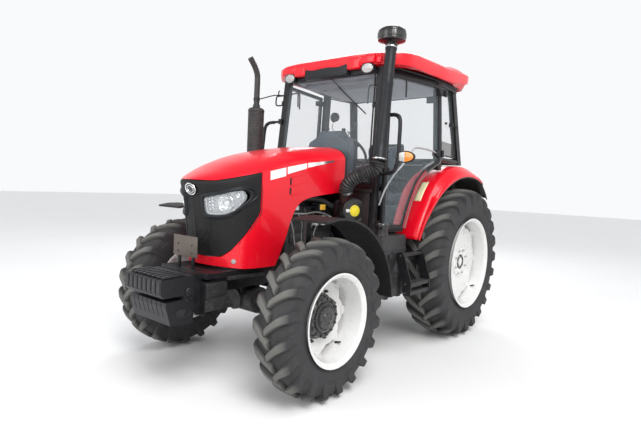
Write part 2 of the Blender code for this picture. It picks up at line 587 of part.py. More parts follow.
glass_plate("windshield", [(1.322, 0.566, 1.552), (1.322, -0.566, 1.552), (1.236, -0.527, 2.556), (1.236, 0.527, 2.556)])
glass_plate("rear_window", [(-0.189, 0.657, 1.860), (-0.189, -0.657, 1.860), (-0.066, -0.612, 2.558), (-0.066, 0.612, 2.558)])
q = [(0.330, 0.752, 1.868), (-0.142, 0.694, 1.868), (-0.020, 0.655, 2.556), (0.344, 0.714, 2.556)]
glass_plate("quarter_window_left", q)
mirrored(bpy.data.objects["quarter_window_left"], "quarter_window_right")

# doors: a thin frame with the pane set in it, both lying outside the posts
DOOR_OUT = 0.031 + 0.007 + DOOR_T / 2
slab("left_door", DOOR, DOOR_OUT, DOOR_T, "black_paint", [inset(DOOR, 0.034)])
slab("left_door_glass", inset(DOOR, 0.0346), DOOR_OUT, GLASS_T, "clear_glass")
mirrored(bpy.data.objects["left_door"], "right_door")
mirrored(bpy.data.objects["left_door_glass"], "right_door_glass")

# ---------------------------------------------------------------- rear fenders
# angle about the axle, fold (y, r) between tread face and side flange, flange lip (y, r)
FENDER = [(18, 0.800, 0.885, 0.835, 0.872), (28, 0.810, 0.893, 0.850, 0.880), (38, 0.820, 0.910, 0.875, 0.892), (50, 0.830, 0.945, 0.895, 0.902),
          (62, 0.835, 0.978, 0.912, 0.907), (74, 0.840, 0.998, 0.922, 0.908), (86, 0.842, 1.004, 0.930, 0.910),
          (98, 0.848, 0.998, 0.935, 0.913), (110, 0.858, 0.985, 0.940, 0.917), (122, 0.870, 0.970, 0.944, 0.919), (134, 0.880, 0.955, 0.946, 0.920)]


def fender(name):
    bm = bmesh.new()
    rows = []
    for a, fy, fr, ly, lr in FENDER:
        c, s = math.cos(math.radians(a)), math.sin(math.radians(a))
        row = [(0.62, 0.560), (fr - 0.03, 0.560), (fr, 0.585), (fr + 0.001, (0.585 + fy) / 2), (fr - 0.002, fy - 0.02), (fr - 0.02, fy + 0.012), (lr, ly)]
        rows.append([bm.verts.new(W(r * c, y, REAR_R + r * s)) for r, y in row])
    for a, b in zip(rows, rows[1:]):
        for i in range(len(a) - 1):
            bm.faces.new((a[i], a[i + 1], b[i + 1], b[i]))
    me = bpy.data.meshes.new(name)
    bmesh.ops.recalc_face_normals(bm, faces=bm.faces)
    bm.to_mesh(me)
    bm.free()
    ob = bpy.data.objects.new(name, me)
    me.materials.append(PAINT["red_paint"])
    TRACTOR.objects.link(ob)
    sol = ob.modifiers.new("shell", "SOLIDIFY")
    sol.thickness, sol.offset, sol.use_even_offset = 0.012, 0.0, True
    return bake(ob)


fender("rear_fender_left")
mirrored(bpy.data.objects["rear_fender_left"], "rear_fender_right")

# ---------------------------------------------------------------- tank, battery box, steps
combine("fuel_tank", [side_plate("u0", [(0.99, 0.60), (1.03, 0.55), (1.38, 0.55), (1.42, 0.60), (1.42, 0.98), (1.38, 1.00), (1.02, 1.00), (0.99, 0.97)], 0.36, 0.80, "black_plastic"),
                      side_plate("u5", [(0.996, 0.90), (1.414, 0.90), (1.414, 1.07), (1.375, 1.105), (1.035, 1.105), (0.996, 1.07)], 0.665, 0.797, "black_plastic"),
                      rod("u1", (1.355, 0.735, 1.09), (1.355, 0.735, 1.165), 0.046, "black_plastic"),
                      box("u2", (1.05, 0.19, 0.66), (1.30, 0.37, 0.72), "black_plastic")])
tb = [(0.99, 0.62), (1.38, 0.62), (1.38, 0.96), (0.99, 0.96)]
combine("battery_box", [side_plate("u3", tb, -0.76, -0.36, "black_plastic"),
                        box("u4", (1.04, -0.37, 0.66), (1.30, -0.19, 0.72), "black_plastic")])
ladder = [(0.8004, 0.940), (0.850, 0.960), (0.880, 0.920), (0.957, 0.700), (0.957, 0.580), (0.880, 0.580), (0.870, 0.690), (0.8004, 0.880)]
steps = [front_plate("v0", ladder, 0.815, 0.827, "black_paint"), front_plate("v1", ladder, 1.163, 1.175, "black_paint"),
         box("v2", (0.82, 0.862, 0.672), (1.17, 0.952, 0.686), "black_paint"), box("v6", (0.82, 0.944, 0.660), (1.17, 0.953, 0.694), "black_paint"),
         box("v3", (0.82, 0.882, 0.598), (1.17, 0.952, 0.612), "black_paint"), box("v7", (0.82, 0.944, 0.586), (1.17, 0.953, 0.620), "black_paint"),
         box("v4", (0.82, 0.8004, 0.918), (1.17, 0.872, 0.932), "black_paint")]
combine("step_left", steps)
mirrored(bpy.data.objects["step_left"], "step_right")

# ---------------------------------------------------------------- intake and exhaust
combine("air_cleaner", [rod("x0", (1.43, 0.25, 1.31), (1.43, 0.50, 1.31), 0.118, "maroon_paint", seg=24),
                        rod("x1", (1.47, 0.42, 1.39), (1.51, 0.455, 1.46), 0.045, "maroon_paint"),
                        box("x2", (1.37, 0.215, 1.19), (1.49, 0.28, 1.26), "maroon_paint")])
wire("intake_hose", [(1.5146, 0.4590, 1.4682), (1.535, 0.477, 1.504), (1.54, 0.51, 1.55), (1.52, 0.56, 1.59), (1.47, 0.64, 1.64), (1.424, 0.703, 1.67), (1.4145, 0.714, 1.728)], 0.052, "black_plastic", res=3)
S_LO, S_HI = (1.410, 0.716, 1.742), (1.262, 0.688, 2.755)
stack = [rod("y0", S_LO, S_HI, 0.060, "black_plastic", r2=0.048, seg=20),
         rod("y1", (1.262, 0.688, 2.748), (1.261, 0.688, 2.785), 0.055, "black_plastic", r2=0.122, seg=24),
         rod("y2", (1.261, 0.688, 2.783), (1.259, 0.688, 2.870), 0.122, "black_plastic", r2=0.118, seg=24),
         rod("y3", (1.259, 0.688, 2.868), (1.2585, 0.688, 2.905), 0.118, "black_plastic", r2=0.05, seg=24)]
combine("intake_stack", stack)

exhaust = [rod("z0", (1.74, -0.472, 1.33), (1.74, -0.472, 2.22), 0.0775, "black_paint", seg=20),
           wire("z1", [(1.74, -0.472, 1.35), (1.74, -0.472, 1.25), (1.74, -0.44, 1.21), (1.74, -0.2104, 1.21)], 0.040, "black_paint", res=2),
           wire("z2", [(1.74, -0.472, 2.21), (1.74, -0.472, 2.50), (1.762, -0.472, 2.56), (1.84, -0.472, 2.665)], 0.027, "black_paint", res=2)]
combine("exhaust_stack", exhaust)

# ---------------------------------------------------------------- cab fittings
wheel_c, wheel_n = Vector(WHEEL_C), Vector(WHEEL_N).normalized()
cowl = bmesh.new()
front = [(0.15, 1.55), (0.25, 1.66), (0.262, 1.86), (0.235, 1.935), (0.14, 1.985), (0.0, 1.995)]
rear = [(0.13, 1.50), (0.180, 1.64), (0.195, 1.88), (0.170, 1.970), (0.10, 2.018), (0.0, 2.028)]
full = lambda half: half + [(-y, z) for y, z in reversed(half[:-1])]
fa = [cowl.verts.new(W(1.222, y, z)) for y, z in full(front)]
ra = [cowl.verts.new(W(1.045, y, z)) for y, z in full(rear)]
cowl.faces.new(fa)
cowl.faces.new(ra[::-1])
for i in range(len(fa)):
    k = (i + 1) % len(fa)
    cowl.faces.new((fa[i], ra[i], ra[k], fa[k]))
combine("dashboard", [emit(cowl, "d0", "grey_plastic"),
                      box("d2", (1.06, -0.12, FLOOR_Z + 0.0305), (1.215, 0.12, 1.62), "grey_plastic"),
                      rod("d1", tuple(wheel_c - wheel_n * 0.25), tuple(wheel_c - wheel_n * 0.036), 0.034, "grey_plastic")])


def ring(name, centre, normal, R, r, material, seg=28):
    me = bpy.data.meshes.new(name)
    n = 8
    me.from_pydata([(R + r * math.cos(-2 * math.pi * i / n), 0, r * math.sin(-2 * math.pi * i / n)) for i in range(n)], [(i, (i + 1) % n) for i in range(n)], [])
    ob = bpy.data.objects.new(name, me)
    me.materials.append(PAINT[material])
    TRACTOR.objects.link(ob)
    m = ob.modifiers.new("turn", "SCREW")
    m.steps = m.render_steps = seg
    m.use_merge_vertices, m.merge_threshold = True, 0.0001
    ob.matrix_world = Matrix.Translation(W(*centre)) @ normal.to_track_quat("Z", "Y").to_matrix().to_4x4()
    return bake(ob)


parts = [ring("r0", wheel_c, wheel_n, 0.190, 0.014, "black_plastic")]
hub_lo, hub_hi = wheel_c - wheel_n * 0.030, wheel_c + wheel_n * 0.012
parts.append(rod("r1", tuple(hub_lo), tuple(hub_hi), 0.045, "black_plastic"))
for k in range(3):
    a = math.radians(90 + 120 * k)
    e = Vector((0, 1, 0))
    f = wheel_n.cross(e)
    tip = wheel_c + (e * math.cos(a) + f * math.sin(a)) * 0.188
    parts.append(rod("r2", tuple(wheel_c - wheel_n * 0.008), tuple(tip), 0.009, "black_plastic", seg=8))
combine("steering_wheel", parts)

box("seat_base", (0.28, -0.17, FLOOR_Z + 0.0305), (0.62, 0.17, 1.34), "black_plastic")
combine("seat_base", [bpy.data.objects["seat_base"], box("sb", (0.14, -0.20, 1.33), (0.64, 0.20, 1.355), "black_plastic"),
                      box("sc", (0.10, -0.16, 1.33), (0.15, 0.16, 1.72), "black_plastic")])
box("seat_cushion", (0.19, -0.245, 1.3555), (0.67, 0.245, 1.475), "seat_fabric", 0.03)
side_plate("seat_back", [(0.1505, 1.49), (0.275, 1.49), (0.255, 1.98), (0.235, 2.01), (0.1505, 2.01)], -0.225, 0.225, "seat_fabric")

# ---------------------------------------------------------------- rear linkage
P1, P2, V = LINK_PIVOT, ARM_PIVOT, ARM_REACH
combine("lift_arms", [rod("l0", (P2[0], -0.29, P2[1]), (P2[0], 0.29, P2[1]), 0.040, "cast_black"),
                      side_plate("l1", [(P2[0] + 0.05, P2[1] - 0.045), (P2[0] + 0.05, P2[1] + 0.045), (P2[0] + V[0] - 0.02, P2[1] + V[1] + 0.022), (P2[0] + V[0] - 0.02, P2[1] + V[1] - 0.022)], 0.255, 0.285, "cast_black"),
                      side_plate("l2", [(P2[0] + 0.05, P2[1] - 0.045), (P2[0] + 0.05, P2[1] + 0.045), (P2[0] + V[0] - 0.02, P2[1] + V[1] + 0.022), (P2[0] + V[0] - 0.02, P2[1] + V[1] - 0.022)], -0.285, -0.255, "cast_black"),
                      rod("l3", (P2[0] + V[0], 0.26, P2[1] + V[1]), (P2[0] + V[0], 0.338, P2[1] + V[1]), 0.010, "cast_black", seg=12),
                      rod("l4", (P2[0] + V[0], -0.26, P2[1] + V[1]), (P2[0] + V[0], -0.338, P2[1] + V[1]), 0.010, "cast_black", seg=12)])
top_pin, low_pin = (P2[0] + V[0], P2[1] + V[1]), (P1[0] + V[0], P1[1] + V[1])
bar = combine("lb", [rod("m0", (top_pin[0], 0.318, top_pin[1] - 0.01), (low_pin[0], 0.318, low_pin[1] + 0.01), 0.016, "cast_black"),
                     rod("m1", (top_pin[0], 0.303, top_pin[1]), (top_pin[0], 0.333, top_pin[1]), 0.034, "cast_black", seg=20),
                     rod("m2", (low_pin[0], 0.303, low_pin[1]), (low_pin[0], 0.333, low_pin[1]), 0.034, "cast_black", seg=20)])
cut("lift_rod_left", bar, rod("m3", (top_pin[0], 0.29, top_pin[1]), (top_pin[0], 0.345, top_pin[1]), 0.0165, "cast_black"),
    rod("m4", (low_pin[0], 0.29, low_pin[1]), (low_pin[0], 0.345, low_pin[1]), 0.0165, "cast_black"))
mirrored(bpy.data.objects["lift_rod_left"], "lift_rod_right")
d = (-0.91, -0.065)
link = [top_plate("n0", [(P1[0] + 0.035, 0.215), (P1[0] + 0.035, 0.245), (P1[0] - 0.45, 0.295), (P1[0] + d[0], 0.415), (P1[0] + d[0], 0.390), (P1[0] - 0.45, 0.262)], -0.03, 0.03, "cast_black")]
me = link[0].data
for v in me.vertices:
    x = v.co.x - REAR_AXLE
    v.co.z += P1[1] + (x - P1[0]) * d[1] / d[0]
link.append(rod("n1", (low_pin[0], 0.28, low_pin[1]), (low_pin[0], 0.338, low_pin[1]), 0.010, "cast_black", seg=12))
link.append(rod("n2", (P1[0] + d[0], 0.375, P1[1] + d[1]), (P1[0] + d[0], 0.430, P1[1] + d[1]), 0.045, "cast_black", seg=20))
combine("lower_link_left", link)
mirrored(bpy.data.objects["lower_link_left"], "lower_link_right")
cut("top_link", combine("tl", [rod("tl0", (-0.47, 0, 0.83), (-0.47, 0, 1.42), 0.019, "cast_black"),
                                     rod("tl1", (-0.47, -0.02, 0.80), (-0.47, 0.02, 0.80), 0.035, "cast_black", seg=20),
                                     rod("tl2", (-0.47, -0.02, 1.44), (-0.47, 0.02, 1.44), 0.035, "cast_black", seg=20)]),
          rod("tl3", (-0.47, -0.03, 0.80), (-0.47, 0.03, 0.80), 0.0165, "cast_black"))

# ---------------------------------------------------------------- finish: smooth round pieces, and an empty on each joint axis
for ob in list(TRACTOR.objects):
    ob.data.shade_smooth()
    ob.data.set_sharp_from_angle(angle=math.radians(35))

TOP_PIN = (P2[0] + V[0], P2[1] + V[1])
PIVOTS = {
    "hood_hinge": ((HOOD_HINGE[0], 0, HOOD_HINGE[1]), ["hood_shell", "grille", "headlight_left", "headlight_right"]),
    "steering_wheel_axis": (WHEEL_C, ["steering_wheel"]),
    "steering_rod_axis": ((WHEELBASE - ARM, 0, 0.50), ["steering_rod"]),
    "lift_arm_axis": ((P2[0], 0, P2[1]), ["lift_arms"]),
    "top_link_axis": ((TOP_LINK_PIVOT[0], 0, TOP_LINK_PIVOT[1]), ["top_link"]),
}
for side, label in ((1, "left"), (-1, "right")):
    PIVOTS[label + "_door_hinge"] = ((DOOR_HINGE[0], side * DOOR_HINGE[1], 1.80), [label + "_door", label + "_door_glass"])
    PIVOTS["kingpin_" + label] = ((WHEELBASE, side * KINGPIN_Y, FRONT_R), ["steering_knuckle_" + label, "front_fender_" + label])
    PIVOTS["front_axle_" + label] = ((WHEELBASE, side * FRONT_Y, FRONT_R), ["front_tyre_" + label, "front_rim_" + label])
    PIVOTS["rear_axle_" + label] = ((0, side * REAR_Y, REAR_R), ["rear_tyre_" + label, "rear_rim_" + label])
    PIVOTS["lower_link_axis_" + label] = ((P1[0], side * 0.25, P1[1]), ["lower_link_" + label])
    PIVOTS["lift_rod_axis_" + label] = ((TOP_PIN[0], side * 0.318, TOP_PIN[1]), ["lift_rod_" + label])
for name, (point, members) in PIVOTS.items():
    pivot = bpy.data.objects.new(name, None)
    pivot.location = W(*point)
    TRACTOR.objects.link(pivot)
    for member in members:
        ob = bpy.data.objects[member]
        ob.parent = pivot
        ob.matrix_parent_inverse = Matrix.Translation(-pivot.location)
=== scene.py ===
"""Looks for the farm tractor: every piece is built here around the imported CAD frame."""
import math

import bmesh
import bpy
from mathutils import Matrix, Vector


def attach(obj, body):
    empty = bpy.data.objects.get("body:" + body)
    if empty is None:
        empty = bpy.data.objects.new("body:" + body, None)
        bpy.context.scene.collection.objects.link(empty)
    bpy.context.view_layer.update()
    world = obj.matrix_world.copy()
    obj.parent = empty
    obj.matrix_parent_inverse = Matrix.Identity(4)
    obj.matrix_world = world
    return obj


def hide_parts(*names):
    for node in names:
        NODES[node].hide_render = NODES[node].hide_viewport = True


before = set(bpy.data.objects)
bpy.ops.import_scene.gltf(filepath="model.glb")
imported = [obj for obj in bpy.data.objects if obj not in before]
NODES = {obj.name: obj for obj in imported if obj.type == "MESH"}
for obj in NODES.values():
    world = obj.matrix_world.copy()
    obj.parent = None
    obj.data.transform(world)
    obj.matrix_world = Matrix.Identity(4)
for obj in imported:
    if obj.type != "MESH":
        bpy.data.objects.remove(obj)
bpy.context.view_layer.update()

XA = -1.0                        # world X of the rear axle


def W(x, y, z):
    return Vector((x + XA, y, z))


# ------------------------------------------------------------------ materials
def node(nt, kind, **values):
    n = nt.nodes.new(kind)
    for k, v in values.items():
        if k in n.inputs:
            n.inputs[k].default_value = v
        else:
            setattr(n, k, v)
    return n


def surface(name, colour, rough, metal=0.0, coat=0.0, coat_rough=0.05, vary=0.08, scale=7.0, rough_vary=0.06,
            grain=0.0, grain_scale=300.0, dust=0.0, dust_colour=(0.30, 0.27, 0.23), sheen=0.0, spec=0.5,
            alpha=1.0, stretch=(1, 1, 1), tint=None):
    """Principled material whose colour, roughness and bump come from noise in object space."""
    m = bpy.data.materials.new(name)
    m.use_nodes = True
    nt = m.node_tree
    b = nt.nodes["Principled BSDF"]
    b.inputs["Metallic"].default_value = metal
    b.inputs["Coat Weight"].default_value = coat
    b.inputs["Coat Roughness"].default_value = coat_rough
    b.inputs["Specular IOR Level"].default_value = spec
    b.inputs["Sheen Weight"].default_value = sheen
    b.inputs["Alpha"].default_value = alpha
    tc = nt.nodes.new("ShaderNodeTexCoord")
    mp = nt.nodes.new("ShaderNodeMapping")
    mp.inputs["Scale"].default_value = stretch
    nt.links.new(tc.outputs["Object"], mp.inputs["Vector"])
    n1 = node(nt, "ShaderNodeTexNoise", Scale=scale, Detail=5.0, Roughness=0.6)
    nt.links.new(mp.outputs[0], n1.inputs["Vector"])
    ramp = nt.nodes.new("ShaderNodeValToRGB")
    lo = [max(0.0, c * (1 - vary)) for c in colour]
    hi = [min(1.0, c * (1 + vary)) for c in (tint or colour)]
    ramp.color_ramp.elements[0].position, ramp.color_ramp.elements[1].position = 0.35, 0.68
    ramp.color_ramp.elements[0].color = (*lo, 1)
    ramp.color_ramp.elements[1].color = (*hi, 1)
    nt.links.new(n1.outputs["Fac"], ramp.inputs["Fac"])
    colour_out = ramp.outputs["Color"]
    if dust:
        nd = node(nt, "ShaderNodeTexNoise", Scale=scale * 2.3, Detail=8.0, Roughness=0.72)
        nt.links.new(mp.outputs[0], nd.inputs["Vector"])
        rd = node(nt, "ShaderNodeMapRange")
        rd.inputs["From Min"].default_value, rd.inputs["From Max"].default_value = 0.50, 0.78
        rd.inputs["To Max"].default_value = dust
        nt.links.new(nd.outputs["Fac"], rd.inputs["Value"])
        mix = nt.nodes.new("ShaderNodeMix")
        mix.data_type = "RGBA"
        mix.inputs[7].default_value = (*dust_colour, 1)
        nt.links.new(rd.outputs[0], mix.inputs[0])
        nt.links.new(colour_out, mix.inputs[6])
        colour_out = mix.outputs[2]
    nt.links.new(colour_out, b.inputs["Base Color"])
    n2 = node(nt, "ShaderNodeTexNoise", Scale=scale * 3.1, Detail=6.0, Roughness=0.65)
    nt.links.new(mp.outputs[0], n2.inputs["Vector"])
    rr = nt.nodes.new("ShaderNodeMapRange")
    rr.inputs["From Min"].default_value, rr.inputs["From Max"].default_value = 0.3, 0.7
    rr.inputs["To Min"].default_value, rr.inputs["To Max"].default_value = max(0.0, rough - rough_vary), min(1.0, rough + rough_vary)
    nt.links.new(n2.outputs["Fac"], rr.inputs["Value"])
    nt.links.new(rr.outputs[0], b.inputs["Roughness"])
    if grain:
        n3 = node(nt, "ShaderNodeTexNoise", Scale=grain_scale, Detail=2.0, Roughness=0.5)
        nt.links.new(mp.outputs[0], n3.inputs["Vector"])
        bump = nt.nodes.new("ShaderNodeBump")
        bump.inputs["Strength"].default_value = grain
        bump.inputs["Distance"].default_value = 0.001
        nt.links.new(n3.outputs["Fac"], bump.inputs["Height"])
        nt.links.new(bump.outputs[0], b.inputs["Normal"])
    return m


def pattern_bump(m, kind, scale, strength, distance=0.002, rotate=(0, 0, 0)):
    """Adds a woven or honeycomb relief to a surface() material."""
    nt = m.node_tree
    b = nt.nodes["Principled BSDF"]
    tc = nt.nodes.new("ShaderNodeTexCoord")
    mp = nt.nodes.new("ShaderNodeMapping")
    mp.inputs["Rotation"].default_value = rotate
    nt.links.new(tc.outputs["Object"], mp.inputs["Vector"])
    if kind == "cells":
        t = nt.nodes.new("ShaderNodeTexVoronoi")
        t.feature = "DISTANCE_TO_EDGE"
        t.inputs["Scale"].default_value = scale
        t.inputs["Randomness"].default_value = 0.0
        out = t.outputs["Distance"]
    else:
        t = nt.nodes.new("ShaderNodeTexWave")
        t.bands_direction = "DIAGONAL"
        t.inputs["Scale"].default_value = scale
        t.inputs["Distortion"].default_value = 0.4
        out = t.outputs["Fac"]
    nt.links.new(mp.outputs[0], t.inputs["Vector"])
    bump = nt.nodes.new("ShaderNodeBump")
    bump.inputs["Strength"].default_value = strength
    bump.inputs["Distance"].default_value = distance
    nt.links.new(out, bump.inputs["Height"])
    if b.inputs["Normal"].is_linked:
        nt.links.new(b.inputs["Normal"].links[0].from_socket, bump.inputs["Normal"])
    nt.links.new(bump.outputs[0], b.inputs["Normal"])
    return m


def glass(name, colour, alpha, rough=0.03):
    """Thin pane that lets light through; its smears show in the gloss."""
    m = surface(name, colour, rough, vary=0.04, scale=3.0, rough_vary=0.025, coat=0.6, coat_rough=0.02, alpha=alpha, spec=0.8)
    return m


RED = surface("red_paint", (0.78, 0.001, 0.014), 0.36, coat=0.45, coat_rough=0.10, vary=0.04, scale=2.0, grain=0.04, grain_scale=500, dust=0.0, spec=0.35)
MAROON = surface("maroon_paint", (0.040, 0.004, 0.007), 0.34, coat=0.5, vary=0.15, grain=0.05, dust=0.08)
BLACK = surface("satin_black", (0.010, 0.010, 0.012), 0.40, spec=0.35, vary=0.2, grain=0.08, grain_scale=420, dust=0.06)
GLOSS = surface("gloss_black", (0.008, 0.008, 0.009), 0.30, coat=0.6, coat_rough=0.12, vary=0.15, dust=0.05)
CAST = surface("cast_black", (0.020, 0.020, 0.021), 0.55, vary=0.25, scale=9, grain=0.35, grain_scale=160, dust=0.16)
WEIGHT = surface("ballast_black", (0.015, 0.015, 0.018), 0.46, vary=0.2, scale=8, grain=0.45, grain_scale=120, dust=0.22, dust_colour=(0.16, 0.14, 0.12))
PLASTIC = surface("moulded_plastic", (0.010, 0.012, 0.015), 0.46, spec=0.32, vary=0.12, grain=0.22, grain_scale=650, dust=0.05)
TANK = surface("tank_plastic", (0.020, 0.020, 0.022), 0.42, spec=0.45, vary=0.14, grain=0.18, grain_scale=500, dust=0.07)
RUBBER = surface("hose_rubber", (0.020, 0.020, 0.021), 0.55, vary=0.2, grain=0.12, dust=0.12)
TYRE = surface("tyre_rubber", (0.036, 0.036, 0.038), 0.78, vary=0.16, scale=5, rough_vary=0.08, grain=0.30, grain_scale=240, dust=0.10, dust_colour=(0.16, 0.15, 0.135), spec=0.35)
WHITE = surface("white_paint", (0.70, 0.70, 0.69), 0.30, coat=0.5, vary=0.03, scale=4, dust=0.06, dust_colour=(0.6, 0.58, 0.52), grain=0.04)
STEEL = surface("bright_steel", (0.60, 0.60, 0.61), 0.28, metal=1.0, vary=0.08, scale=20, grain=0.1, grain_scale=200, stretch=(1, 1, 6))
ZINC = surface("zinc_bolts", (0.46, 0.46, 0.45), 0.38, metal=0.9, vary=0.2, scale=40, dust=0.1)
DARKSTEEL = surface("dark_steel", (0.09, 0.09, 0.095), 0.45, metal=0.7, vary=0.25, scale=25, grain=0.2, dust=0.1)


def lug_wear(name, x, z, r0, r1):
    """Tyre rubber whose outermost faces are scuffed grey: the mix follows the distance from the axle."""
    m = TYRE.copy()
    m.name = name
    nt = m.node_tree
    tc = nt.nodes.new("ShaderNodeTexCoord")
    off = nt.nodes.new("ShaderNodeVectorMath")
    off.operation = "SUBTRACT"
    off.inputs[1].default_value = (x, 0.0, z)
    nt.links.new(tc.outputs["Object"], off.inputs[0])
    flat = nt.nodes.new("ShaderNodeVectorMath")
    flat.operation = "MULTIPLY"
    flat.inputs[1].default_value = (1.0, 0.0, 1.0)
    nt.links.new(off.outputs[0], flat.inputs[0])
    dist = nt.nodes.new("ShaderNodeVectorMath")
    dist.operation = "LENGTH"
    nt.links.new(flat.outputs[0], dist.inputs[0])
    span = nt.nodes.new("ShaderNodeMapRange")
    span.inputs["From Min"].default_value, span.inputs["From Max"].default_value = r0, r1
    span.inputs["To Min"].default_value, span.inputs["To Max"].default_value = 0.0, 0.80
    nt.links.new(dist.outputs["Value"], span.inputs["Value"])
    mx = nt.nodes.new("ShaderNodeMix")
    mx.data_type = "RGBA"
    mx.inputs[7].default_value = (0.150, 0.148, 0.138, 1)
    bs = nt.nodes["Principled BSDF"]
    nt.links.new(bs.inputs["Base Color"].links[0].from_socket, mx.inputs[6])
    nt.links.new(span.outputs[0], mx.inputs[0])
    nt.links.new(mx.outputs[2], bs.inputs["Base Color"])
    return m


CHROME = surface("chrome", (0.86, 0.87, 0.88), 0.07, metal=1.0, vary=0.03, scale=10, rough_vary=0.04)
GRILLE = pattern_bump(surface("grille_mesh", (0.012, 0.012, 0.013), 0.55, spec=0.25, vary=0.15, scale=6, grain=0.1), "cells", 110, 0.9, 0.004)
SLATE = surface("slate_plastic", (0.055, 0.070, 0.090), 0.50, vary=0.12, scale=6, grain=0.2, grain_scale=500)
LINER = pattern_bump(surface("headliner", (0.33, 0.37, 0.42), 0.75, vary=0.08, scale=5, sheen=0.2), "weave", 160, 0.25, 0.001)
FABRIC = pattern_bump(surface("seat_fabric", (0.040, 0.056, 0.082), 0.85, vary=0.14, scale=14, sheen=0.35, grain=0.4, grain_scale=900), "weave", 260, 0.5, 0.0015)
STRIPE = surface("white_stripe", (0.88, 0.87, 0.87), 0.38, coat=0.4, vary=0.03, scale=12)
YELLOW = surface("yellow_sticker", (0.80, 0.66, 0.03), 0.42, vary=0.06, scale=14)
CREAM = surface("cream_sticker", (0.80, 0.74, 0.45), 0.42, vary=0.05, scale=14)
AMBER = surface("amber_lens", (0.85, 0.28, 0.02), 0.14, coat=1.0, vary=0.12, scale=60)
PLATE = surface("plate_back", (0.095, 0.075, 0.062), 0.5, vary=0.12, scale=9, grain=0.1, dust=0.08)
GLASS = glass("cab_glass", (0.42, 0.50, 0.54), 0.085)
LENS = glass("lamp_lens", (0.80, 0.84, 0.88), 0.20, rough=0.04)
SEAL = surface("seal_rubber", (0.012, 0.012, 0.013), 0.60, vary=0.15, grain=0.1)
BROWN = surface("tinted_panel", (0.06, 0.05, 0.045), 0.35, vary=0.15, dust=0.1)
LIGHTGREY = surface("light_grey_rod", (0.42, 0.43, 0.44), 0.35, metal=0.5, vary=0.08, scale=20)

# stripe that fades into a dark dotted net
FADE = surface("stripe_fade", (0.88, 0.87, 0.87), 0.40, coat=0.4, vary=0.03, scale=12)
nt = FADE.node_tree
tc = nt.nodes.new("ShaderNodeTexCoord")
sep = nt.nodes.new("ShaderNodeSeparateXYZ")
nt.links.new(tc.outputs["Object"], sep.inputs[0])
mr = nt.nodes.new("ShaderNodeMapRange")
for key, val in (("From Min", 0.90), ("From Max", 0.58), ("To Min", 0.0), ("To Max", 0.9)):
    mr.inputs[key].default_value = val
nt.links.new(sep.outputs["X"], mr.inputs["Value"])
vor = node(nt, "ShaderNodeTexVoronoi", Scale=260.0, Randomness=0.0)
nt.links.new(tc.outputs["Object"], vor.inputs["Vector"])
less = nt.nodes.new("ShaderNodeMath")
less.operation = "LESS_THAN"
nt.links.new(vor.outputs["Distance"], less.inputs[0])
nt.links.new(mr.outputs[0], less.inputs[1])
mx = nt.nodes.new("ShaderNodeMix")
mx.data_type = "RGBA"
mx.inputs[7].default_value = (0.09, 0.09, 0.10, 1)
bs = nt.nodes["Principled BSDF"]
nt.links.new(bs.inputs["Base Color"].links[0].from_socket, mx.inputs[6])
nt.links.new(less.outputs[0], mx.inputs[0])
nt.links.new(mx.outputs[2], bs.inputs["Base Color"])


# ------------------------------------------------------------------ mesh helpers
def put(bm, name, mat, body, angle=35, replaces=(), recalc=True):
    if recalc:
        bmesh.ops.recalc_face_normals(bm, faces=bm.faces)
    me = bpy.data.meshes.new(name)
    bm.to_mesh(me)
    bm.free()
    me.shade_smooth()
    me.set_sharp_from_angle(angle=math.radians(angle))
    me.materials.append(mat)
    ob = bpy.data.objects.new(name, me)
    bpy.context.scene.collection.objects.link(ob)
    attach(ob, body)
    if replaces:
        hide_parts(*replaces)
    return ob


def mods(ob, bevel=0.0, segments=2, weld=False, subsurf=0):
    if weld:
        w = ob.modifiers.new("weld", "WELD")
        w.merge_threshold = 0.0002
    if bevel:
        m = ob.modifiers.new("bevel", "BEVEL")
        m.width, m.segments, m.limit_method, m.angle_limit = bevel, segments, "ANGLE", math.radians(38)
        m.use_clamp_overlap = True
        n = ob.modifiers.new("normals", "WEIGHTED_NORMAL")
        n.keep_sharp = False
    if subsurf:
        s = ob.modifiers.new("smooth", "SUBSURF")
        s.levels = s.render_levels = subsurf


def smooth_path(points, per=6, closed=False):
    """Catmull-Rom points through the given ones."""
    pts = [Vector(p) for p in points]
    n = len(pts)
    out = []
    rng = range(n if closed else n - 1)
    for i in rng:
        p0 = pts[(i - 1) % n] if closed or i > 0 else pts[0] * 2 - pts[1]
        p1, p2 = pts[i], pts[(i + 1) % n]
        p3 = pts[(i + 2) % n] if closed or i + 2 < n else pts[-1] * 2 - pts[-2]
        for k in range(per):
            t = k / per
            out.append(0.5 * ((2 * p1) + (p2 - p0) * t + (2 * p0 - 5 * p1 + 4 * p2 - p3) * t * t + (3 * p1 - p0 - 3 * p2 + p3) * t ** 3))
    if not closed:
        out.append(pts[-1])
    return out


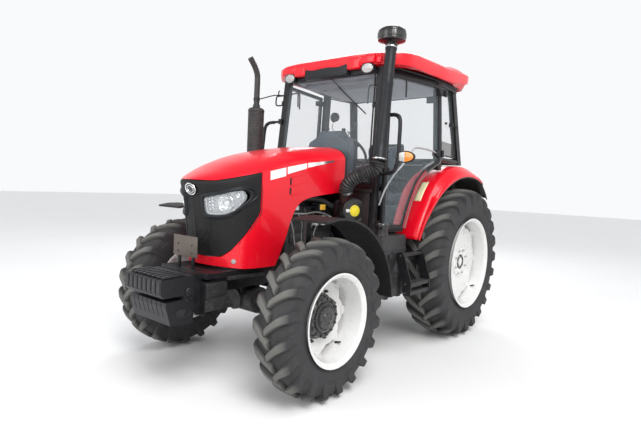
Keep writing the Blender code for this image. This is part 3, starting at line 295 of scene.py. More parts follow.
class Kit:
    """Collects small solids of one material and body into one mesh."""

    def __init__(self):
        self.bm = bmesh.new()

    def box(self, lo, hi, bevel=0.003, world=False, turn=None, seg=2):
        lo, hi = (Vector(lo), Vector(hi)) if world else (W(*lo), W(*hi))
        bm = bmesh.new()
        bmesh.ops.create_cube(bm, size=1.0)
        s = hi - lo
        m = Matrix.Translation((lo + hi) / 2)
        if turn is not None:
            m = m @ turn
        bmesh.ops.transform(bm, matrix=m @ Matrix.Diagonal((abs(s.x), abs(s.y), abs(s.z), 1)), verts=bm.verts)
        if bevel:
            b = min(bevel, min(abs(s.x), abs(s.y), abs(s.z)) * 0.45)
            bmesh.ops.bevel(bm, geom=list(bm.edges), offset=b, segments=seg, affect="EDGES", profile=0.5)
        self.add(bm)
        return self

    def add(self, bm, matrix=None):
        if matrix is not None:
            bmesh.ops.transform(bm, matrix=matrix, verts=bm.verts)
        me = bpy.data.meshes.new("tmp")
        bm.to_mesh(me)
        bm.free()
        self.bm.from_mesh(me)
        bpy.data.meshes.remove(me)

    def lathe(self, a, b, profile, n=24, world=False):
        """Profile of (distance along a to b, radius), turned round the line. Ends at radius 0 close the form."""
        a, b = (Vector(a), Vector(b)) if world else (W(*a), W(*b))
        d = (b - a).normalized()
        rot = d.to_track_quat("Z", "Y").to_matrix()
        u, v = rot @ Vector((1, 0, 0)), rot @ Vector((0, 1, 0))
        bm = bmesh.new()
        rings = []
        for t, r in profile:
            c = a + d * t
            if r < 1e-6:
                rings.append([bm.verts.new(c)])
            else:
                rings.append([bm.verts.new(c + (u * math.cos(2 * math.pi * k / n) + v * math.sin(2 * math.pi * k / n)) * r) for k in range(n)])
        for p, q in zip(rings, rings[1:]):
            for k in range(n):
                j = (k + 1) % n
                if len(p) == 1 and len(q) == 1:
                    continue
                if len(p) == 1:
                    bm.faces.new((p[0], q[k], q[j]))
                elif len(q) == 1:
                    bm.faces.new((p[k], p[j], q[0]))
                else:
                    bm.faces.new((p[k], p[j], q[j], q[k]))
        for ring, rev in ((rings[0], True), (rings[-1], False)):
            if len(ring) > 1:
                bm.faces.new(ring[::-1] if rev else ring)
        self.add(bm)
        return self

    def rod(self, a, b, r, r2=None, n=20, edge=0.0015, world=False):
        a, b = (Vector(a), Vector(b)) if world else (W(*a), W(*b))
        L = (b - a).length
        r2 = r if r2 is None else r2
        e = min(edge, r * 0.4, L * 0.3)
        self.lathe(a, b, [(0, 0), (0, r - e), (e, r), (L - e, r2), (L, r2 - e), (L, 0)], n, world=True)
        return self

    def tube(self, points, r, n=12, per=5, world=False, ribs=None, closed=False, radii=None):
        """Round bar along a smooth path."""
        pts = smooth_path([Vector(p) if world else W(*p) for p in points], per, closed) if per > 1 else [Vector(p) if world else W(*p) for p in points]
        bm = bmesh.new()
        rings = []
        prev = None
        total = 0.0
        m = len(pts)
        for i, p in enumerate(pts):
            nxt = pts[(i + 1) % m] if closed else pts[min(i + 1, m - 1)]
            bef = pts[(i - 1) % m] if closed else pts[max(i - 1, 0)]
            t = (nxt - bef).normalized()
            if prev is None:
                ref = Vector((0, 0, 1)) if abs(t.z) < 0.9 else Vector((1, 0, 0))
                u = t.cross(ref).normalized()
            else:
                u = (prev - t * prev.dot(t)).normalized()
            v = t.cross(u)
            prev = u
            if i:
                total += (p - pts[i - 1]).length
            rr = radii(i / (m - 1)) if radii else r
            if ribs:
                rr = rr + ribs[1] * math.cos(2 * math.pi * total / ribs[0])
            rings.append([bm.verts.new(p + (u * math.cos(2 * math.pi * k / n) + v * math.sin(2 * math.pi * k / n)) * rr) for k in range(n)])
        pairs = list(zip(rings, rings[1:])) + ([(rings[-1], rings[0])] if closed else [])
        for a, b in pairs:
            for k in range(n):
                j = (k + 1) % n
                bm.faces.new((a[k], a[j], b[j], b[k]))
        if not closed:
            bm.faces.new(rings[0][::-1])
            bm.faces.new(rings[-1])
        self.add(bm)
        return self

    def bolt(self, p, direction, r=0.008, h=0.006, n=6, world=False):
        """Hexagon head with its washer, facing along direction."""
        p = Vector(p) if world else W(*p)
        d = Vector(direction).normalized()
        self.lathe(p - d * 0.002, p + d, [(0, 0), (0, r * 1.35), (0.003, r * 1.35), (0.0035, 0)], 16, world=True)
        self.lathe(p, p + d, [(0, 0), (0, r), (h * 0.85, r), (h, r * 0.86), (h, 0)], n, world=True)
        return self

    def prism(self, outline, origin, u, v, thickness, bevel=0.0, seg=2):
        """Filled outline in the plane of u and v, thick along their normal, centred on it."""
        origin, u, v = Vector(origin), Vector(u).normalized(), Vector(v).normalized()
        w = u.cross(v).normalized()
        bm = bmesh.new()
        lo = [bm.verts.new(origin + u * a + v * b - w * thickness / 2) for a, b in outline]
        hi = [bm.verts.new(origin + u * a + v * b + w * thickness / 2) for a, b in outline]
        bm.faces.new(lo[::-1])
        bm.faces.new(hi)
        n = len(outline)
        for i in range(n):
            j = (i + 1) % n
            bm.faces.new((lo[i], lo[j], hi[j], hi[i]))
        bmesh.ops.recalc_face_normals(bm, faces=bm.faces)
        if bevel:
            bmesh.ops.bevel(bm, geom=[e for e in bm.edges if len(e.link_faces) == 2 and e.calc_face_angle(0) > 0.6], offset=bevel, segments=seg, affect="EDGES", profile=0.5)
        self.add(bm)
        return self

    def sideplate(self, outline_xz, y0, y1, bevel=0.0, seg=2):
        """Outline in side view, x forward of the rear axle and z."""
        return self.prism([(x + XA, z) for x, z in outline_xz], (0, (y0 + y1) / 2, 0), (1, 0, 0), (0, 0, 1), abs(y1 - y0), bevel, seg)

    def mirror(self):
        me = bpy.data.meshes.new("tmp")
        self.bm.to_mesh(me)
        other = bmesh.new()
        other.from_mesh(me)
        bpy.data.meshes.remove(me)
        bmesh.ops.transform(other, matrix=Matrix.Diagonal((1, -1, 1, 1)), verts=other.verts)
        bmesh.ops.reverse_faces(other, faces=other.faces)
        k = Kit()
        k.bm = other
        return k

    def both(self):
        """Adds the mirror image across the tractor's middle."""
        other = self.mirror()
        self.add(other.bm)
        return self

    def done(self, name, mat, body, slot=None, angle=38, replaces=(), recalc=True):
        return put(self.bm, name, mat, body, angle, replaces, recalc)


def arc(cx, cz, r, a0, a1, n):
    return [(cx + r * math.cos(math.radians(a0 + (a1 - a0) * i / n)), cz + r * math.sin(math.radians(a0 + (a1 - a0) * i / n))) for i in range(n + 1)]


def lerp(table, x):
    if x <= table[0][0]:
        return table[0][1]
    for (x0, v0), (x1, v1) in zip(table, table[1:]):
        if x <= x1:
            return v0 + (v1 - v0) * (x - x0) / (x1 - x0)
    return table[-1][1]


def spline(table, x):
    """Monotone cubic through the table."""
    n = len(table)
    x = min(max(x, table[0][0]), table[-1][0])
    d = [(table[i + 1][1] - table[i][1]) / (table[i + 1][0] - table[i][0]) for i in range(n - 1)]
    m = [d[0]] + [0.0 if d[i - 1] * d[i] <= 0 else 2 * d[i - 1] * d[i] / (d[i - 1] + d[i]) for i in range(1, n - 1)] + [d[-1]]
    for i in range(n - 1):
        if x <= table[i + 1][0]:
            h = table[i + 1][0] - table[i][0]
            t = (x - table[i][0]) / h
            return ((2 * t ** 3 - 3 * t * t + 1) * table[i][1] + (t ** 3 - 2 * t * t + t) * h * m[i]
                    + (-2 * t ** 3 + 3 * t * t) * table[i + 1][1] + (t ** 3 - t * t) * h * m[i + 1])
    return table[-1][1]


# ------------------------------------------------------------------ tyres
def tyre(label, x, y, side, R, width, rim_r, lugs, depth, sweep, body, node_name, steps=120):
    h = width / 2
    k = R - rim_r
    rb = R - depth
    half = [(0, rb), (0.30 * h, rb - 0.001), (0.55 * h, rb - 0.006), (0.74 * h, rb - 0.018), (0.86 * h, rb - 0.040), (0.925 * h, rb - 0.075),
            (0.955 * h, rim_r + 0.50 * k), (0.955 * h, rim_r + 0.34 * k), (0.925 * h, rim_r + 0.20 * k), (0.885 * h, rim_r + 0.115 * k),
            (0.868 * h, rim_r + 0.085 * k), (0.875 * h, rim_r + 0.075 * k), (0.845 * h, rim_r + 0.03 * k), (0.82 * h, rim_r - 0.012)]
    fine = smooth_path([(t, r, 0) for t, r in half], 3)
    outer = [(p.x, p.y) for p in fine]
    loop = [(-t, r) for t, r in reversed(outer[1:])] + outer + [(0.60 * h, rim_r - 0.014), (-0.60 * h, rim_r - 0.014)]
    bm = bmesh.new()
    rings = []
    for i in range(steps):
        a = 2 * math.pi * i / steps
        c, s = math.cos(a), math.sin(a)
        rings.append([bm.verts.new(W(x + r * c, y + side * t, R + r * s)) for t, r in loop])
    m = len(loop)
    for i in range(steps):
        p, q = rings[i], rings[(i + 1) % steps]
        for j in range(m):
            l = (j + 1) % m
            bm.faces.new((p[j], p[l], q[l], q[j]))
    # path for the lugs along the profile, by arc length
    acc = [0.0]
    for p, q in zip(outer, outer[1:]):
        acc.append(acc[-1] + math.hypot(q[0] - p[0], q[1] - p[1]))

    def at(s):
        if s < 0:
            return (s, rb), (0.0, 1.0)
        for i in range(len(acc) - 1):
            if s <= acc[i + 1]:
                f = (s - acc[i]) / (acc[i + 1] - acc[i])
                p, q = outer[i], outer[i + 1]
                t = Vector((q[0] - p[0], q[1] - p[1])).normalized()
                return (p[0] + (q[0] - p[0]) * f, p[1] + (q[1] - p[1]) * f), (-t.y, t.x)
        return outer[-1], (1.0, 0.0)
    s0, s1 = -0.07 * h, 0.90 * h + 0.085
    n = 15
    for sgn in (1, -1):
        for i in range(lugs):
            base_angle = 2 * math.pi * (i + (0.5 if sgn < 0 else 0.0)) / lugs
            secs = []
            for j in range(n + 1):
                u = j / n
                s = s0 + (s1 - s0) * u
                (t, r), (nt_, nr) = at(s)
                f = 1 - (1 - min(1.0, u / 0.86)) ** 1.45
                ang = base_angle + sweep * f
                height = depth * (1.0 if u < 0.70 else 1.0 - 0.90 * ((u - 0.70) / 0.30) ** 1.3)
                wt = (0.030 + 0.012 * min(1.0, u / 0.7)) * (R / 0.575) ** 0.7
                if u < 0.10:
                    wt *= 1.12
                wb = wt + 0.024
                if u > 0.75:
                    wt += 0.012 * (u - 0.75) / 0.25
                sec = []
                for off, hh in ((-wb / 2, -0.006), (-wt / 2 - 0.002, height * 0.86), (-wt / 2 + 0.004, height), (wt / 2 - 0.004, height), (wt / 2 + 0.002, height * 0.86), (wb / 2, -0.006)):
                    tt, rr = t + nt_ * hh, r + nr * hh
                    rr = min(rr, R - 0.0004)
                    tt = min(tt, 0.992 * h)
                    a = ang + off / (r * 0.80)
                    sec.append(bm.verts.new(W(x + rr * math.cos(a), y + side * sgn * tt, R + rr * math.sin(a))))
                secs.append(sec)
            for a_, b_ in zip(secs, secs[1:]):
                for q in range(5):
                    bm.faces.new((a_[q], a_[q + 1], b_[q + 1], b_[q]))
                bm.faces.new((a_[5], a_[0], b_[0], b_[5]))
            bm.faces.new(secs[0][::-1])
            bm.faces.new(secs[-1])
    return put(bm, "tyre_" + label, lug_wear("tyre_rubber_" + label, x + XA, R, R - 0.040, R - 0.008), body, 32, [node_name])


for side, lab in ((1, "left"), (-1, "right")):
    tyre("front_" + lab, 2.25, side * 0.848, side, 0.575, 0.314, 0.335, 20, 0.036, 0.250, "front_wheel_" + lab, "front_tyre_" + lab)
    tyre("rear_" + lab, 0.0, side * 0.797, side, 0.772, 0.425, 0.466, 24, 0.038, 0.260, "rear_wheel_" + lab, "rear_tyre_" + lab, 132)


def wheel_lathe(bm, x, y, z, side, loop, n):
    """Closed loop of (offset outward, radius) turned about the wheel's axis."""
    rings = []
    for i in range(n):
        a = 2 * math.pi * i / n
        rings.append([bm.verts.new(W(x + r * math.cos(a), y + side * t, z + r * math.sin(a))) for t, r in loop])
    m = len(loop)
    for i in range(n):
        p, q = rings[i], rings[(i + 1) % n]
        for j in range(m):
            l = (j + 1) % m
            bm.faces.new((p[j], p[l], q[l], q[j]))


def fine_loop(front, back, per=3):
    """Smoothed outer face followed by its offset back face, as one closed loop."""
    f = [(p.x, p.y) for p in smooth_path([(t, r, 0) for t, r in front], per)]
    b = [(p.x, p.y) for p in smooth_path([(t, r, 0) for t, r in back], per)]
    return f + b


def rim(lab, x, y, R, h, r, side, disc, hub_r, slots, body, node_name):
    """White rim barrel with rolled edges, and a dished disc joined to it by welded lugs."""
    front = [(-0.90 * h, r - 0.036), (-0.5 * h, r - 0.040), (-0.2 * h, r - 0.047), (0.1 * h, r - 0.050), (0.4 * h, r - 0.047), (0.70 * h, r - 0.040),
             (0.84 * h, r - 0.036), (0.905 * h, r - 0.028), (0.945 * h, r - 0.010), (0.975 * h, r + 0.001), (0.988 * h, r - 0.003)]
    back = [(0.982 * h, r - 0.008), (0.955 * h, r - 0.017), (0.92 * h, r - 0.022), (0.80 * h, r - 0.028), (0.3 * h, r - 0.040), (-0.3 * h, r - 0.038), (-0.86 * h, r - 0.026), (-0.97 * h, r - 0.002), (-0.985 * h, r - 0.010)]
    bm = bmesh.new()
    wheel_lathe(bm, x, y, R, side, fine_loop(front, back, 3), 96)
    # disc, with its edge scalloped between the welded lugs
    n = 128
    td, tc, edge, thick = disc           # offset at the edge, offset at the hub, edge radius, thickness
    stations = [0.0, 0.25, 0.5, 0.7, 0.85, 0.95, 1.0]
    faces = []
    for back_side in (0, 1):
        rings = []
        for sst in stations:
            ring = []
            for i in range(n):
                a = 2 * math.pi * i / n
                wave = 0.5 + 0.5 * math.cos(slots * a)
                e = edge - 0.030 * (1 - wave ** 0.45)
                rr = hub_r + (e - hub_r) * sst
                dish = tc + (td - tc) * sst ** 2.2 + 0.006 * math.sin(math.pi * sst) * (1 if td > tc else -1)
                ring.append(bm.verts.new(W(x + rr * math.cos(a), y + side * (dish - back_side * thick), R + rr * math.sin(a))))
            rings.append(ring)
        for p, q in zip(rings, rings[1:]):
            for i in range(n):
                j = (i + 1) % n
                bm.faces.new((p[i], p[j], q[j], q[i]) if back_side == 0 else (p[j], p[i], q[i], q[j]))
        faces.append(rings)
    for idx in (0, -1):
        p, q = faces[0][idx], faces[1][idx]
        for i in range(n):
            j = (i + 1) % n
            bm.faces.new((p[i], p[j], q[j], q[i]))
    kit = Kit()
    kit.bm = bm
    # welded lugs from the disc's high points out to the barrel
    for i in range(slots):
        a = 2 * math.pi * i / slots
        er, et = Vector((math.cos(a), 0, math.sin(a))), Vector((-math.sin(a), 0, math.cos(a)))
        c = W(x, y, R)
        ax = Vector((0, side, 0))
        pts = [(edge - 0.020, -0.036), (r - 0.043, -0.030), (r - 0.043, 0.030), (edge - 0.020, 0.036)]
        kit.prism([(p, q) for p, q in pts], c + ax * (td - thick * 0.5 + 0.003), er, et, thick + 0.010, 0.003)
    return kit


for side, lab in ((1, "left"), (-1, "right")):
    body = "front_wheel_" + lab
    x, y, z, h, r = 2.25, side * 0.848, 0.575, 0.157, 0.335
    kit = rim("front_" + lab, x, y, z, h, r, side, (-0.030, -0.048, 0.276, 0.012), 0.140, 8, body, None)
    k2 = Kit()
    for i in range(8):                                            # empty loop; the valve stem is built further down
        pass
    kit.done("front_rim_white_" + lab, WHITE, body, "white_paint", 32, ["front_rim_" + lab])
    hub = Kit()
    ax = Vector((0, side, 0))
    c = W(x, y, z)
    hub.lathe(c - ax * 0.115, c, [(0, 0.100), (0, 0.148), (0.03, 0.150), (0.066, 0.152), (0.066, 0.166), (0.078, 0.166), (0.080, 0.150), (0.105, 0.149), (0.112, 0.147), (0.114, 0.146),
                                   (0.132, 0.146), (0.135, 0.143), (0.135, 0.120), (0.131, 0.117), (0.131, 0.112), (0.141, 0.108), (0.146, 0.100), (0.147, 0.092), (0.143, 0.089), (0.143, 0.086),
                                   (0.155, 0.080), (0.158, 0.070), (0.158, 0.052), (0.155, 0.049), (0.155, 0.034), (0.159, 0.031), (0.159, 0.016), (0.156, 0.012), (0.156, 0)], 64, world=True)
    for i in range(14):
        a = 2 * math.pi * i / 14
        p = c + ax * 0.018 + Vector((math.cos(a), 0, math.sin(a))) * 0.133
        hub.bolt(p, ax, 0.0105, 0.011, world=True)
    p = c + ax * 0.040 + Vector((0.062, 0, -0.02))
    hub.bolt(p, ax, 0.009, 0.008, world=True)
    hub.done("front_hub_" + lab, surface("hub_black_" + lab, (0.012, 0.011, 0.011), 0.27, coat=0.4, coat_rough=0.12, vary=0.2, scale=12, grain=0.12, grain_scale=200, dust=0.09), body, "cast_black", 30)
    nuts = Kit()
    for i in range(8):
        a = 2 * math.pi * (i + 0.5) / 8
        p = c - ax * 0.040 + Vector((math.cos(a), 0, math.sin(a))) * 0.184
        nuts.bolt(p, ax, 0.012, 0.016, world=True)
        nuts.rod(p, p + ax * 0.026, 0.006, n=12, world=True)
    nuts.done("front_wheel_nuts_" + lab, DARKSTEEL, body, None, 30)
    v = Kit()
    a = math.radians(232)
    e = Vector((math.cos(a), 0, math.sin(a)))
    v.rod(c + e * 0.286 - ax * 0.004, c + e * 0.262 + ax * 0.050, 0.0065, n=12, world=True)
    v.rod(c + e * 0.292 - ax * 0.010, c + e * 0.283 + ax * 0.006, 0.011, n=12, world=True)
    v.done("front_valve_" + lab, SEAL, body, None, 30)

    body = "rear_wheel_" + lab
    x, y, z, h, r = 0.0, side * 0.797, 0.772, 0.2125, 0.466
    kit = rim("rear_" + lab, x, y, z, h, r, side, (0.070, 0.086, 0.404, 0.012), 0.070, 8, body, None)
    kit.done("rear_rim_white_" + lab, WHITE, body, "white_paint", 32, ["rear_rim_" + lab])
    c = W(x, y, z)
    boss = Kit()
    boss.lathe(c + ax * 0.070, c + ax * 0.2, [(0, 0.060), (0, 0.155), (0.018, 0.155), (0.022, 0.150), (0.022, 0.098), (0.022, 0.060)], 56, world=True)
    boss.done("rear_boss_" + lab, WHITE, body, "white_paint", 30)
    hub = Kit()
    hub.lathe(c - ax * 0.200, c, [(0, 0), (0, 0.108), (0.255, 0.108), (0.262, 0.100), (0.262, 0.088), (0.290, 0.078), (0.296, 0.074), (0.296, 0.048), (0.282, 0.044), (0.282, 0)], 48, world=True)
    hub.done("rear_hub_" + lab, surface("rear_hub_black_" + lab, (0.022, 0.022, 0.022), 0.45, vary=0.2, scale=12, grain=0.2, dust=0.08), body, "cast_black", 30)
    nuts = Kit()
    for i in range(8):
        a = 2 * math.pi * (i + 0.5) / 8
        p = c + ax * 0.090 + Vector((math.cos(a), 0, math.sin(a))) * 0.125
        nuts.bolt(p, ax, 0.013, 0.016, world=True)
        nuts.rod(p, p + ax * 0.026, 0.0065, n=12, world=True)
    for i in range(6):
        a = 2 * math.pi * i / 6
        p = c + ax * 0.095 + Vector((math.cos(a), 0, math.sin(a))) * 0.061
        nuts.bolt(p, ax, 0.007, 0.007, world=True)
    nuts.done("rear_wheel_nuts_" + lab, ZINC, body, None, 30)
    v = Kit()
    a = math.radians(225)
    e = Vector((math.cos(a), 0, math.sin(a)))
    v.rod(c + e * 0.417 + ax * 0.10, c + e * 0.395 + ax * 0.150, 0.0065, n=12, world=True)
    v.done("rear_valve_" + lab, SEAL, body, None, 30)

# ------------------------------------------------------------------ hood, grille, lamps
HALF_WIDTH = [(1.40, 0.352), (1.9, 0.362), (2.3, 0.370), (2.45, 0.366), (2.56, 0.345), (2.64, 0.305), (2.70, 0.250), (2.75, 0.180), (2.785, 0.105), (2.80, 0.0)]
TOP = [(1.40, 1.870), (1.7, 1.845), (2.0, 1.800), (2.3, 1.735), (2.5, 1.665), (2.64, 1.600), (2.74, 1.548), (2.785, 1.518), (2.80, 1.500)]
SHOULDER = [(1.40, 1.74), (2.0, 1.68), (2.3, 1.61), (2.5, 1.545), (2.64, 1.505), (2.74, 1.485), (2.80, 1.475)]


def hood_point(x, v, off=0.0):
    w = spline(HALF_WIDTH, x) - off
    top, sh = spline(TOP, x) - off, spline(SHOULDER, x)
    if v <= 1:
        z = 0.85 + (sh - 0.85) * v
        y = w * (1 - 0.05 * (1 - v) ** 2)
    else:
        a = (v - 1) * math.pi / 2
        y = w * math.cos(a) ** lerp([(1.4, 0.62), (2.2, 0.78), (2.8, 1.0)], x) if v < 2 else 0.0
        z = sh + (top - sh) * math.sin(a)
    lean = max(0.0, (x - 2.3) / 0.5)
    shift = -0.10 * lean * max(0.0, (1.48 - z) / 0.6) + 0.02 * lean * max(0.0, 1 - abs(z - 1.5) / 0.1)
    return W(x + shift - off * lean, max(y, 0.0), z)


def hood_mesh(off=0.0, xs=None):
    xs = xs or ([1.40 + 0.04 * i for i in range(24)] + [2.36 + 0.025 * i for i in range(8)] + [2.56 + 0.012 * i for i in range(15)] + [2.738, 2.750, 2.760, 2.769, 2.777, 2.784, 2.790, 2.795, 2.798, 2.800])
    vs = [0, 0.12, 0.24, 0.36, 0.48, 0.60, 0.70, 0.78, 0.86, 0.93, 0.98, 1.0, 1.03, 1.07] + [1.07 + 0.93 * (i / 22) for i in range(1, 23)]
    bm = bmesh.new()
    grid = [[bm.verts.new(hood_point(x, v, off)) for v in vs] for x in xs]
    for a, b in zip(grid, grid[1:]):
        for i in range(len(vs) - 1):
            bm.faces.new((a[i], b[i], b[i + 1], a[i + 1]))
    geom = bmesh.ops.duplicate(bm, geom=list(bm.verts) + list(bm.faces))["geom"]
    dup = [g for g in geom if isinstance(g, bmesh.types.BMVert)]
    for v in dup:
        v.co.y = -v.co.y
    bmesh.ops.reverse_faces(bm, faces=[g for g in geom if isinstance(g, bmesh.types.BMFace)])
    bmesh.ops.remove_doubles(bm, verts=bm.verts, dist=0.0003)
    bmesh.ops.dissolve_degenerate(bm, edges=bm.edges, dist=0.0001)
    bmesh.ops.recalc_face_normals(bm, faces=bm.faces)
    return bm


def temp(bm, name):
    me = bpy.data.meshes.new(name)
    bm.to_mesh(me)
    bm.free()
    ob = bpy.data.objects.new(name, me)
    bpy.context.scene.collection.objects.link(ob)
    return ob


def shell(off, thick):
    ob = temp(hood_mesh(off), "shell")
    s = ob.modifiers.new("s", "SOLIDIFY")
    s.thickness, s.offset = thick, -1.0
    return ob


def side_prism(outline, half=0.7):
    k = Kit().sideplate(outline, -half, half)
    return temp(k.bm, "prism")


def front_prism(outline_yz, x0=2.40, x1=3.0):
    k = Kit().prism(outline_yz, ((x0 + x1) / 2 + XA, 0, 0), (0, 1, 0), (0, 0, 1), x1 - x0)
    return temp(k.bm, "prism")


def carve(base, steps):
    for op, other in steps:
        m = base.modifiers.new("b", "BOOLEAN")
        m.operation, m.solver, m.object = op, "EXACT", other
    bpy.context.view_layer.update()
    me = bpy.data.meshes.new_from_object(base.evaluated_get(bpy.context.evaluated_depsgraph_get()))
    for o in [base] + [o for _, o in steps]:
        bpy.data.objects.remove(o, do_unlink=True)
    bm = bmesh.new()
    bm.from_mesh(me)
    bpy.data.meshes.remove(me)
    bmesh.ops.remove_doubles(bm, verts=bm.verts, dist=0.00005)
    return bm


from mathutils.bvhtree import BVHTree
full = hood_mesh()
HOOD = BVHTree.FromBMesh(full)
full.free()


def on_side(x, z, s=1, off=0.0):
    loc, n, _, _ = HOOD.ray_cast(W(x, s * 2.0, z), Vector((0, -s, 0)))
    if n.y * s < 0:
        n = -n
    return loc + n * off, n


def on_front(y, z, off=0.0):
    loc, n, _, _ = HOOD.ray_cast(W(4.0, y, z), Vector((-1, 0, 0)))
    if n.x < 0:
        n = -n
    return loc + n * off, n


def on_top(x, y, off=0.0):
    loc, n, _, _ = HOOD.ray_cast(W(x, y, 3.0), Vector((0, 0, -1)))
    if n.z < 0:
        n = -n
    return loc + n * off, n


def skin(where, corners, off, thick, nu=16, nv=4):
    """Thin sheet lying on the hood between four corners, given in the projection's own two coordinates."""
    bm = bmesh.new()
    layers = []
    for d in (off, off - thick):
        rows = []
        for j in range(nv + 1):
            row = []
            for i in range(nu + 1):
                u, v = i / nu, j / nv
                a = [corners[0][k] * (1 - u) + corners[1][k] * u for k in (0, 1)]
                b = [corners[3][k] * (1 - u) + corners[2][k] * u for k in (0, 1)]
                row.append(bm.verts.new(where(a[0] * (1 - v) + b[0] * v, a[1] * (1 - v) + b[1] * v, d)))
            rows.append(row)
        layers.append(rows)
    for rows, flip in ((layers[0], False), (layers[1], True)):
        for a, b in zip(rows, rows[1:]):
            for i in range(nu):
                q = (a[i], a[i + 1], b[i + 1], b[i])
                bm.faces.new(q[::-1] if flip else q)
    def rim_of(rows):
        return rows[0] + [r[-1] for r in rows[1:]] + rows[-1][-2::-1] + [r[0] for r in rows[-2:0:-1]]
    a, b = rim_of(layers[0]), rim_of(layers[1])
    for i in range(len(a)):
        j = (i + 1) % len(a)
        bm.faces.new((a[i], b[i], b[j], a[j]))
    return bm


def blob(where, outline, off, thick, rings=(1.0, 0.92, 0.75, 0.5, 0.25), crown=0.0):
    """Sheet of any rounded outline lying on the hood."""
    cy = sum(p[0] for p in outline) / len(outline)
    cz = sum(p[1] for p in outline) / len(outline)
    bm = bmesh.new()
    tops = []
    for d, back in ((off, False), (off - thick, True)):
        rows = [[bm.verts.new(where(cy + (p[0] - cy) * k, cz + (p[1] - cz) * k, d + (0 if back else crown * (1 - k * k)))) for p in outline] for k in rings]
        mid = bm.verts.new(where(cy, cz, d + (0 if back else crown)))
        n = len(outline)
        for a, b in zip(rows, rows[1:]):
            for i in range(n):
                j = (i + 1) % n
                bm.faces.new((a[i], a[j], b[j], b[i]))
        for i in range(n):
            bm.faces.new((rows[-1][i], rows[-1][(i + 1) % n], mid))
        tops.append(rows[0])
    for i in range(len(outline)):
        j = (i + 1) % len(outline)
        bm.faces.new((tops[0][i], tops[0][j], tops[1][j], tops[1][i]))
    return bm


P0 = lambda f: (lambda a, b, d: f(a, b, off=d)[0])
side_l, front_w, top_w = (lambda a, b, d: on_side(a, b, 1, d)[0]), P0(on_front), P0(on_top)
side_r = lambda a, b, d: on_side(a, b, -1, d)[0]

wheel_edge = [(p.x, p.y) for p in smooth_path([(1.395, 1.462, 0), (1.70, 1.432, 0), (1.90, 1.400, 0), (2.02, 1.345, 0), (2.095, 1.230, 0), (2.150, 1.080, 0), (2.205, 0.960, 0), (2.25, 0.874, 0)], 5)]
KEEP = wheel_edge + [(2.55, 0.874), (2.80, 0.902), (3.0, 0.902), (3.0, 2.1), (1.395, 2.1)]
BLACKF = [(2.43, 1.592), (2.43, 1.30), (2.445, 1.270), (2.590, 1.058), (2.615, 1.010), (2.655, 0.958), (3.0, 0.93), (3.0, 1.515), (2.74, 1.515), (2.60, 1.552)]
bm = carve(shell(0.0, 0.006), [("INTERSECT", side_prism(KEEP)), ("DIFFERENCE", side_prism(BLACKF))])
hood = put(bm, "hood_panels", RED, "hood", 28, ["hood_shell"])

LAMP = [(0.115, 1.275), (0.115, 1.395), (0.22, 1.415), (0.335, 1.455), (0.345, 1.38), (0.28, 1.285), (0.20, 1.262)]
lamp_line = [(p.x, p.y) for p in smooth_path([(y, z, 0) for y, z in [(0.118, 1.285), (0.114, 1.335), (0.118, 1.388), (0.165, 1.403), (0.22, 1.415), (0.285, 1.437), (0.330, 1.452), (0.344, 1.435), (0.343, 1.385), (0.315, 1.325), (0.275, 1.285), (0.235, 1.269), (0.185, 1.263), (0.135, 1.268)]], 4, True)]
grow = lambda line, k: [(0.232 + (y - 0.232) * (1 + (k - 1) * 0.7), 1.355 + (z - 1.355) * k) for y, z in line]
small = [(2.4335, 1.588), (2.4335, 1.302), (2.4485, 1.272), (2.5935, 1.060), (2.6185, 1.012), (2.658, 0.961), (3.0, 0.933), (3.0, 1.512), (2.74, 1.512), (2.60, 1.549)]
hole_l, hole_r = front_prism(lamp_line), front_prism([(-y, z) for y, z in lamp_line])
bm = carve(shell(0.004, 0.006), [("INTERSECT", side_prism(small)), ("DIFFERENCE", hole_l), ("DIFFERENCE", hole_r)])
put(bm, "grille_panel", GRILLE, "hood", 28, ["grille"])

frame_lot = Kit()
for s in (1, -1):
    line = [(s * y, z) for y, z in grow(lamp_line, 1.10)]
    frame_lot.tube([front_w(y, z, 0.001) for y, z in line], 0.0105, n=10, per=1, world=True, closed=True)
    line = [(s * y, z) for y, z in grow(lamp_line, 1.22)]
    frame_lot.tube([front_w(y, z, -0.004) for y, z in line], 0.009, n=8, per=1, world=True, closed=True)
# lower grille ribs
for y in (-0.14, 0.0, 0.14):
    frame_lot.tube([front_w(y, z, -0.004) for z in (0.985, 1.08, 1.18, 1.235)], 0.0045, n=8, world=True)
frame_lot.done("lamp_surrounds", PLASTIC, "hood", "black_plastic", 40)

